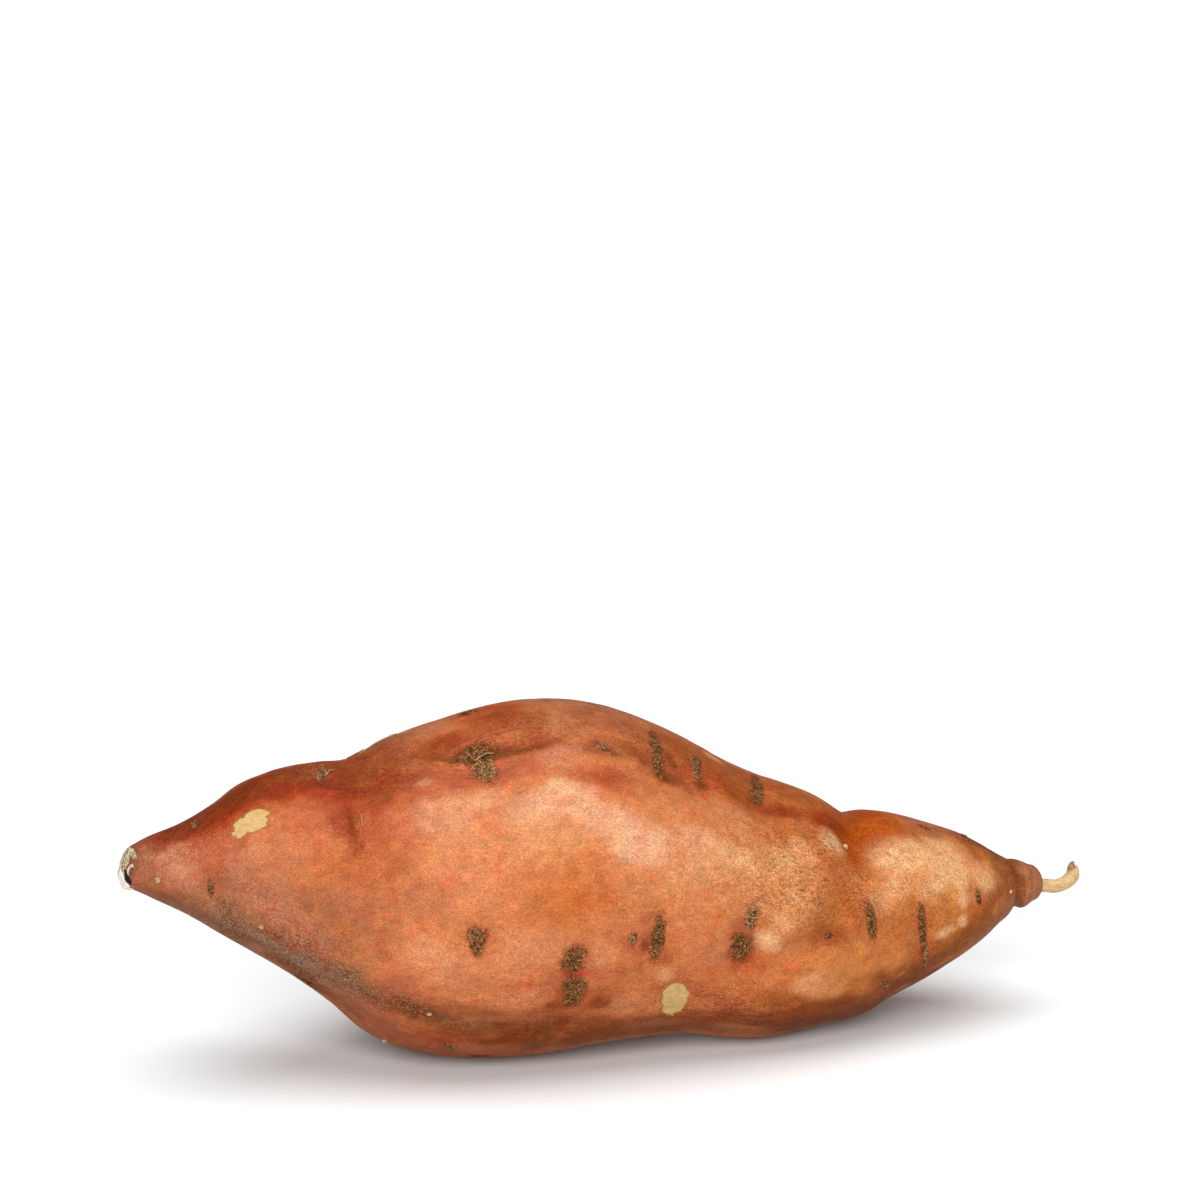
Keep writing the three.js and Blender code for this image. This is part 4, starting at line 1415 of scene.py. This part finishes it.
@dataclass(frozen=True)
class Scars(LaidSpots):
    """The corky scars of side roots: the ones in sight, and others drawn for the hidden sides."""

    name: str = "root_scars"
    seed: int = 17
    spots: tuple[Spot, ...] = (
        Spot(-32.6, 21.2, 2.3, 3.5, 3, 0.1, 0.1),
        Spot(-32.0, 28.2, 5.6, 2.5, 0, 0.1, 0.7),
        Spot(-64.1, 11, 4.0, 0.9, 13, 0.0, 0.6),
        Spot(-89.3, 94, 2.0, 0.6, 0, 0.0, 0.2),
        Spot(-90.8, 14, 1.8, 0.7, 7, 0.0, 0.3),
        Spot(-6.9, 29, 2.4, 0.9, -42, 0.0, 0.6),
        Spot(5.6, 24.2, 7.6, 1.4, 8, -0.1, 0.1),
        Spot(14.3, 25.3, 4.1, 1.15, 14, 0.2, 0.5),
        Spot(29.3, 16.5, 6.0, 1.3, 16, -0.3, 0.1),
        Spot(-38.0, 92.5, 3.1, 2.0, 0, 0.7, 0.3),
        Spot(-17.9, 103.2, 3.4, 2.7, 4, -0.1, 0.3),
        Spot(-17.2, 116.3, 3.8, 2.4, -2, 0.5, 0.1),
        Spot(0.2, 98.8, 5.5, 1.45, 5, -0.15, 0.2),
        Spot(-5.4, 97.8, 1.5, 1.0, 0, 0.0, 0.8),
        Spot(21.1, 84, 3.2, 1.3, 10, 0.0, 0.8),
        Spot(19.3, 98.7, 4.4, 2.5, 8, 0.2, 0.2),
        Spot(49.7, 80, 4.5, 1.25, -6, 0.1, 0.1),
        Spot(62.9, 94, 7.2, 1.05, -5, 0.3, 0.1),
        Spot(64.5, 118, 4.4, 0.6, -8, 0.0, 0.7),
        Spot(77.4, 78.5, 2.3, 0.6, -6, 0.0, 0.5),
        Spot(67.9, 18.5, 0.8, 1.4, 12, 0.0, 0.0),
        Spot(78.9, 9, 1.8, 0.9, 8, 0.0, 0.0),
        Spot(54.6, 121.5, 2.4, 0.9, -20, 0.0, 0.6),
        Spot(39.0, 88.5, 0.8, 1.0, 0, 0.0, 0.4),
        Spot(-31.3, 357, 1.9, 2.2, 10, 0.0, 0.0),
        Spot(-54.6, 346, 1.5, 2.2, 0, 0.0, 0.0),
        Spot(-40.7, 144, 1.8, 1.4, 0, 0.0, 0.9),
        Spot(-33.4, 152, 1.6, 2.4, 0, 0.0, 0.0),
        Spot(-68.4, 160, 2.2, 2.8, 0, 0.0, 0.0),
    )
    hidden_count: int = 17
    hidden_seed: int = 4
    apart: float = 11.0
    crumbs: float = 0.18

    def with_hidden(self, form: RootForm) -> "Scars":
        """Adds scars on the sides that the seen ones leave bare, kept apart from each other.

        Args:
            form: the root's shape.

        Returns:
            The scars with the added ones.
        """
        draw = np.random.default_rng(self.hidden_seed)
        placed: list[Spot] = []
        while len(placed) < self.hidden_count:
            x, angle = draw.uniform(-84, 74), draw.uniform(200, 345)
            size, width, lean = draw.uniform(2.0, 5.6), draw.uniform(1.0, 2.3), draw.uniform(-12, 12)
            spot = Spot(x, angle, size, width, lean, draw.uniform(-0.3, 0.5), draw.uniform(0, 0.7))
            here = form.surface(x, angle)
            if all(np.linalg.norm(form.surface(s.x, s.angle) - here) > self.apart for s in placed):
                placed.append(spot)
        return replace(self, spots=(*self.spots, *placed))

    def height(self, spot: Spot, off: Array, place: Array, uneven: Unevenness) -> Array:
        """Raises the cork a little, with crumbs on it."""
        inside = soft_step(-off, -1.15, -0.8)
        rough = 0.55 * uneven.at(place, 0.62) + 0.45 * uneven.at(place, 0.35)
        return inside * (spot.lift * (0.4 + 0.6 * soft_step(-off, -0.9, -0.2)) + self.crumbs * rough)

    def dress(self, piece: Piece) -> None:
        """Finishes the scars in cork."""
        set_out(piece, CorkFinish().material())


@dataclass(frozen=True)
class PeeledSpots(LaidSpots):
    """Spots where the skin has come off and the dried flesh shows, a little below the skin."""

    name: str = "peeled_spots"
    seed: int = 29
    spots: tuple[Spot, ...] = (
        Spot(-80.7, 42.0, 2.5, 3.7, -8, 0.1),
        Spot(5.3, 126.2, 4.7, 2.9, 6, 0.1),
        Spot(30, 262, 3.4, 2.4, 20, 0.2),
        Spot(-50, 305, 2.4, 3.0, -15, 0.0),
    )
    raggedness: tuple[tuple[float, float], ...] = ((3.0, 0.26), (1.3, 0.16), (0.6, 0.08))
    flesh_depth: float = 0.16
    basin: float = 0.5

    def dip(self, form: RootForm, x: Array, angle: Array) -> Array:
        """Says how far the skin's mesh keeps below the patches that lie over it.

        Args:
            form: the root's shape.
            x: places along the root.
            angle: angles round it.

        Returns:
            The depth at each place, in mm.
        """
        depth = np.zeros(x.shape)
        for spot in self.spots:
            radius = form.radius_at(np.array([spot.x]), np.array([spot.angle]))[0]
            u, v = arc(angle, spot.angle, radius) / spot.round, (x - spot.x) / spot.along
            depth = np.maximum(depth, self.basin * soft_step(-np.hypot(u, v), -1.3, -1.0))
        return depth

    def height(self, spot: Spot, off: Array, place: Array, uneven: Unevenness) -> Array:
        """Lowers the flesh below the skin, with a slightly curled edge."""
        inside = soft_step(-off, -1.02, -0.96)
        curl = 0.05 * np.exp(-(((off - 1.06) / 0.06) ** 2))
        return curl - inside * (self.flesh_depth + 0.03 * uneven.at(place, 1.2))

    def dress(self, piece: Piece) -> None:
        """Finishes the spots as dried flesh."""
        set_out(piece, PeelFinish().material())


@dataclass(frozen=True)
class TailRoot:
    """The stub of the tail root, which turns up at its broken tip."""

    y: float = 2.0
    line: tuple[tuple[float, float, float], ...] = (
        (93, 26.3, 1.6),
        (98.5, 25.9, 1.55),
        (101.3, 25.8, 1.5),
        (103.5, 26.4, 1.5),
        (104.9, 27.5, 1.65),
        (105.2, 28.8, 1.45),
        (104.9, 29.9, 0.9),
        (105.1, 30.8, 0.4),
    )
    least_radius: float = 0.25
    tip_reach: tuple[float, float, float] = (0.1, 0.0, 0.3)
    steps: int = 150
    sides: int = 48

    def centre(self, t: Array) -> tuple[Array, Array]:
        """Runs a smooth line through the root's points.

        Args:
            t: shares of the way along, from 0 to 1.

        Returns:
            The centre of each ring, and its radius.
        """
        knots = np.array(self.line)
        place = t * (len(knots) - 1)
        i = np.clip(place.astype(int), 0, len(knots) - 2)
        f = (place - i)[:, None]
        before, here = knots[np.maximum(i - 1, 0)], knots[i]
        after, beyond = knots[i + 1], knots[np.minimum(i + 2, len(knots) - 1)]
        value = 0.5 * (2 * here + (after - before) * f + (2 * before - 5 * here + 4 * after - beyond) * f**2
                       + (3 * here - before - 3 * after + beyond) * f**3)
        centre = np.stack([value[:, 0], np.full(len(t), self.y), value[:, 1]], -1)
        return centre, np.maximum(value[:, 2], self.least_radius)

    def build(self) -> Piece:
        """Makes the tail root, with lengthwise wrinkles and a ragged husk at its tip."""
        uneven = Unevenness(41)
        t = np.linspace(0, 1, self.steps)
        centre, radius = self.centre(t)
        tangent = directions(centre)
        across = np.array([0.0, 1.0, 0.0])
        up = np.cross(tangent, across)
        turn = turns(self.sides)
        round_place = np.stack([np.repeat(t[:, None] * 6, self.sides, 1), np.sin(turn) + 0 * t[:, None] + 4,
                                np.cos(turn) + 0 * t[:, None] + 4], -1)
        wrinkles = 1 + 0.09 * uneven.at(round_place * [0.6, 1, 1], 0.5) + 0.08 * uneven.at(round_place, 0.9)
        frayed = soft_step(t, 0.78, 1.0)[:, None] * 0.5 * uneven.at(round_place * [2, 1, 1], 0.45)
        reach = radius[:, None] * (wrinkles + frayed)
        points = (centre[:, None] + reach[..., None] * (np.cos(turn)[None, :, None] * across
                                                        + np.sin(turn)[None, :, None] * up[:, None]))
        husk = soft_step(t, 0.72, 0.88)[:, None] * (0.75 + 0.6 * np.cos(turn - 2.6)[None, :])
        faces = grid_faces(self.steps, self.sides, True)
        tip = self.steps * self.sides
        ring = (self.steps - 1) * self.sides
        faces += [(tip, ring + (k + 1) % self.sides, ring + k) for k in range(self.sides)]
        marks = {"husk": np.append(np.clip(husk, 0, 1).ravel(), 1.0)}
        tip_point = centre[-1:] + self.tip_reach
        return write_piece("tail_root", np.concatenate([points.reshape(-1, 3), tip_point]), faces, marks)

    def dress(self, piece: Piece) -> None:
        """Finishes the tail root in dried fibre."""
        set_out(piece, TailFinish().material())


@dataclass(frozen=True)
class StemEnd:
    """The dried, broken end of the stem: a torn face with a split, a curled ridge and a pale wedge."""

    face_x: float = -105.3
    tilt: float = 0.22
    lean: float = 0.28
    centre: tuple[float, float] = (-3.2, 45.2)
    half_width: float = 4.4
    half_height: float = 4.6
    bulge: float = 0.35
    split_start: tuple[float, float] = (-0.05, -0.14)
    split_run: tuple[float, float] = (1.1, -0.52)
    ridge_centre: tuple[float, float] = (0.7, 0.02)
    ridge_radius: float = 0.25
    ridge_width: float = 0.09
    rings: int = 80
    sides: int = 140

    def face(self, y: Array, z: Array) -> Array:
        """Says where the broken face lies along the root at each y and z, in mm."""
        lean = self.lean * np.maximum(z - self.centre[1] + 2, 0)
        return self.face_x - self.tilt * (y - self.centre[0]) + lean

    def marks(self, front: Array, up: Array) -> dict[str, Array]:
        """Works out what lies where on the face.

        Args:
            front: how far to the front each point is, from -1 to 1.
            up: how far up it is, from -1 to 1.

        Returns:
            The torn, split, ridge and wedge masks, by attribute name.
        """
        across, rise = self.split_run
        over, fall = front - self.split_start[0], up - self.split_start[1]
        run = np.clip((over * across + fall * rise) / (across**2 + rise**2), 0, 1)
        off = np.hypot(over - across * run, fall - rise * run)
        split = np.exp(-((off / (0.07 + 0.13 * np.sin(np.pi * np.clip(run + 0.1, 0, 1)))) ** 2))
        below = -0.16 - 0.47 * front - up
        ridge_off = np.hypot(front - self.ridge_centre[0], up - self.ridge_centre[1]) - self.ridge_radius
        ring = np.exp(-((ridge_off / self.ridge_width) ** 2))
        lower_front = soft_step(front, -0.1, 0.35) * soft_step(-below, 0.0, 0.15)
        return {
            "torn": lower_front * soft_step(-up, -0.75, -0.4),
            "split": split,
            "ridge": ring * soft_step(0.6 - front + 0.6 * up, -0.3, 0.1),
            "wedge": soft_step(below, 0.12, 0.26) * soft_step(front, -0.75, -0.4),
        }

    def build(self) -> Piece:
        """Makes the stem end as a lumpy face with a torn rim that turns back over the skin's end."""
        uneven = Unevenness(53)
        share, turn = np.meshgrid(np.linspace(0, 1, self.rings), turns(self.sides), indexing="ij")
        front, up = share * np.sin(turn), share * np.cos(turn)
        flat = np.stack([front, up, 0 * up], -1) * 4 + 20
        ragged = 0.1 * uneven.at(flat, 1.5) + 0.06 * uneven.at(flat, 0.6)
        reach = 1 + ragged * soft_step(share, 0.5, 0.9)
        y = self.centre[0] - self.half_width * front * reach
        z = self.centre[1] + self.half_height * up * reach
        marks = self.marks(front, up)
        lumps = 0.25 * uneven.at(flat, 1.6) + 0.12 * uneven.at(flat, 0.6)
        x = self.face(y, z) - self.bulge * (1 - share**2) + 1.5 * soft_step(share, 0.86, 1.0) ** 2
        x += 0.3 * marks["split"] - 0.35 * marks["ridge"] - 0.25 * marks["wedge"]
        x -= lumps * soft_step(1 - share, 0.0, 0.3)
        points = np.stack([x, y, z], -1).reshape(-1, 3)
        flat_marks = {key: np.clip(values, 0, 1).ravel() for key, values in marks.items()}
        return write_piece("stem_end", points, grid_faces(self.rings, self.sides, True), flat_marks)

    def dress(self, piece: Piece) -> None:
        """Finishes the stem end in dried tissue."""
        set_out(piece, StemFinish().material())


@dataclass(frozen=True)
class Rootlets:
    """Fine dry rootlets that lie on the skin, and the small knobs of those that broke off."""

    threads: tuple[tuple[tuple[float, float], ...], ...] = (
        ((-33.6, 22.4), (-32.2, 21.4), (-30.6, 21.3), (-29.2, 22.0)),
        ((-63.6, 13.5), (-62.8, 11.5), (-62.3, 9.5), (-61.2, 8.0)),
        ((-54.0, 350), (-51, 352), (-47, 353), (-43.5, 355)),
        ((-58.1, 37.5), (-58.3, 41), (-58.2, 44.5)),
        ((56.0, 41), (56.8, 44), (58.5, 47)),
    )
    knobs: tuple[tuple[float, float, float], ...] = (
        (-99.4, 98, 0.6),
        (-79.5, 118, 0.5),
        (-46.5, 124, 0.45),
        (46.6, 40, 0.5),
        (87.5, 83, 0.4),
        (-52.3, 160, 0.5),
        (20, 230, 0.6),
        (-40, 270, 0.6),
        (60, 260, 0.5),
    )
    thickness: float = 0.13
    sides: int = 8
    steps: int = 22
    knob_rings: int = 14
    knob_sides: int = 18

    def thread(self, form: RootForm, line: Sequence[tuple[float, float]]) -> tuple[Array, Faces]:
        """Works out one rootlet's mesh, which rises a little off the skin at its middle.

        Args:
            form: the root's shape.
            line: the (x, angle) points that it runs through.

        Returns:
            Its points and faces.
        """
        knots = np.array(line, float)
        t = np.linspace(0, 1, self.steps)
        place = t * (len(knots) - 1)
        x = np.interp(place, range(len(knots)), knots[:, 0])
        angle = np.interp(place, range(len(knots)), knots[:, 1])
        centre = form.raised(x, angle, 0.12 + 0.35 * np.sin(np.pi * t) ** 2)
        tangent = directions(centre)
        side = np.cross(tangent, [0.3, -0.5, 0.8])
        side /= np.linalg.norm(side, axis=1, keepdims=True)
        over = np.cross(tangent, side)
        turn = turns(self.sides)
        reach = self.thickness * (1 - 0.55 * t)[:, None, None]
        ring = np.cos(turn)[None, :, None] * side[:, None] + np.sin(turn)[None, :, None] * over[:, None]
        points = (centre[:, None] + reach * ring).reshape(-1, 3)
        faces = grid_faces(self.steps, self.sides, True)
        faces.append(tuple(range(self.sides))[::-1])
        faces.append(tuple((self.steps - 1) * self.sides + k for k in range(self.sides)))
        return points, faces

    def knob(
        self, form: RootForm, x: float, angle: float, size: float, uneven: Unevenness
    ) -> tuple[Array, Faces]:
        """Works out one knob's mesh, a lumpy bead half sunk in the skin."""
        rows, columns = self.knob_rings, self.knob_sides
        lean, turn = np.meshgrid(np.linspace(0.05, np.pi - 0.05, rows), turns(columns), indexing="ij")
        ball = np.stack([np.sin(lean) * np.cos(turn), np.sin(lean) * np.sin(turn), np.cos(lean)], -1)
        reach = size * (1 + 0.35 * uneven.at(ball + 3 * size + x, 0.7))
        middle = form.raised(np.array([x]), np.array([angle]), np.array([0.25 * size]))[0]
        points = middle + ball * reach[..., None]
        faces = [f[::-1] for f in grid_faces(rows, columns, True)]
        faces.append(tuple(range(columns)))
        faces.append(tuple((rows - 1) * columns + k for k in range(columns))[::-1])
        return points.reshape(-1, 3), faces

    def build(self, form: RootForm) -> Piece:
        """Joins the rootlets and knobs into one piece."""
        uneven = Unevenness(61)
        parts = [self.thread(form, line) for line in self.threads]
        parts += [self.knob(form, *knob, uneven) for knob in self.knobs]
        points, faces, count = [], [], 0
        for spots, part_faces in parts:
            points.append(spots)
            faces += [tuple(count + k for k in f) for f in part_faces]
            count += len(spots)
        return write_piece("rootlets", np.concatenate(points), faces, {})

    def dress(self, piece: Piece) -> None:
        """Finishes the rootlets in straw."""
        set_out(piece, FibreFinish().material())


@dataclass(frozen=True)
class PhotoCamera:
    """The camera at the photograph's viewing angle: a long lens, a little above and to the left."""

    azimuth: float = -15.0
    elevation: float = 15.0
    distance: float = 960.0
    target: tuple[float, float, float] = (-2.9, 0.0, 35.1)
    target_row: float = 878.5
    frame_side: float = 1200.0
    lens: float = 135.0
    sensor: float = 36.0

    def build(self) -> Piece:
        """Makes the camera and gives it to the scene."""
        back = toward(self.azimuth, self.elevation)
        azimuth = math.radians(self.azimuth)
        right = Vector((math.cos(azimuth), math.sin(azimuth), 0.0))
        pixels = self.frame_side * self.lens / self.sensor
        tilt = math.atan((self.target_row - self.frame_side / 2) / pixels)
        backward = back * math.cos(tilt) - back.cross(right) * math.sin(tilt)
        up = backward.cross(right)
        data = bpy.data.cameras.new("photo_camera")
        data.lens = self.lens
        data.sensor_width = self.sensor
        data.clip_end = 20.0
        camera = bpy.data.objects.new("photo_camera", data)
        axes = Matrix((right, up, backward)).transposed().to_4x4()
        camera.matrix_world = Matrix.Translation((Vector(self.target) + back * self.distance) * MM) @ axes
        bpy.context.scene.collection.objects.link(camera)
        bpy.context.scene.camera = camera
        return camera


@dataclass(frozen=True)
class Softbox:
    """A far, soft light: its strength, how wide it is seen in degrees, and where it hangs."""

    name: str
    strength: float
    spread: float
    azimuth: float
    elevation: float

    def build(self) -> Piece:
        """Hangs the light."""
        data = bpy.data.lights.new(self.name, "SUN")
        data.energy = self.strength
        data.angle = math.radians(self.spread)
        light = bpy.data.objects.new(self.name, data)
        light.location = toward(self.azimuth, self.elevation)
        light.rotation_euler = light.location.to_track_quat("Z", "Y").to_euler()
        bpy.context.scene.collection.objects.link(light)
        return light


@dataclass(frozen=True)
class Studio:
    """A white floor under a large softbox, with a lower one in front and a faint even surround."""

    floor_size: float = 12.0
    surround: float = 0.2
    lights: tuple[Softbox, ...] = (
        Softbox("front", 3.2, 40.0, -20.0, 24.0),
        Softbox("overhead", 2.6, 62.0, -15.0, 88.0),
    )

    def floor(self) -> Piece:
        """Lays the floor."""
        half = self.floor_size / 2
        mesh = bpy.data.meshes.new("floor")
        corners = [(-half, -half, 0), (half, -half, 0), (half, half, 0), (-half, half, 0)]
        mesh.from_pydata(corners, [], [(0, 1, 2, 3)])
        floor = bpy.data.objects.new("floor", mesh)
        bpy.context.scene.collection.objects.link(floor)
        mesh.materials.append(FloorFinish().material())
        return floor

    def surroundings(self) -> None:
        """Lights the scene evenly from all round."""
        world = bpy.data.worlds.new("studio")
        bpy.context.scene.world = world
        world.use_nodes = True
        world.node_tree.nodes["Background"].inputs["Color"].default_value = (1.0, 1.0, 1.0, 1.0)
        world.node_tree.nodes["Background"].inputs["Strength"].default_value = self.surround

    def build(self) -> None:
        """Sets up the studio and how the picture is developed."""
        self.floor()
        for light in self.lights:
            light.build()
        self.surroundings()
        bpy.context.scene.view_settings.view_transform = "Standard"
        bpy.context.scene.view_settings.look = "None"


def main() -> None:
    """Builds the sweet potato's looks and the studio round it."""
    logging.basicConfig(level=logging.INFO, format="%(name)s: %(message)s")
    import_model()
    form, skin, peeled = RootForm(), Skin(), PeeledSpots()
    scars = Scars().with_hidden(form)
    PhotoCamera().build()
    stem = StemEnd()
    skin.dress(skin.build(form, scars.spots, lambda x, angle: peeled.dip(form, x, angle), stem.face))
    scars.dress(scars.build(form, skin, scars.spots))
    peeled.dress(peeled.build(form, skin, scars.spots))
    tail = TailRoot()
    tail.dress(tail.build())
    stem.dress(stem.build())
    rootlets = Rootlets()
    rootlets.dress(rootlets.build(form))
    Studio().build()


if __name__ == "__main__":
    main()
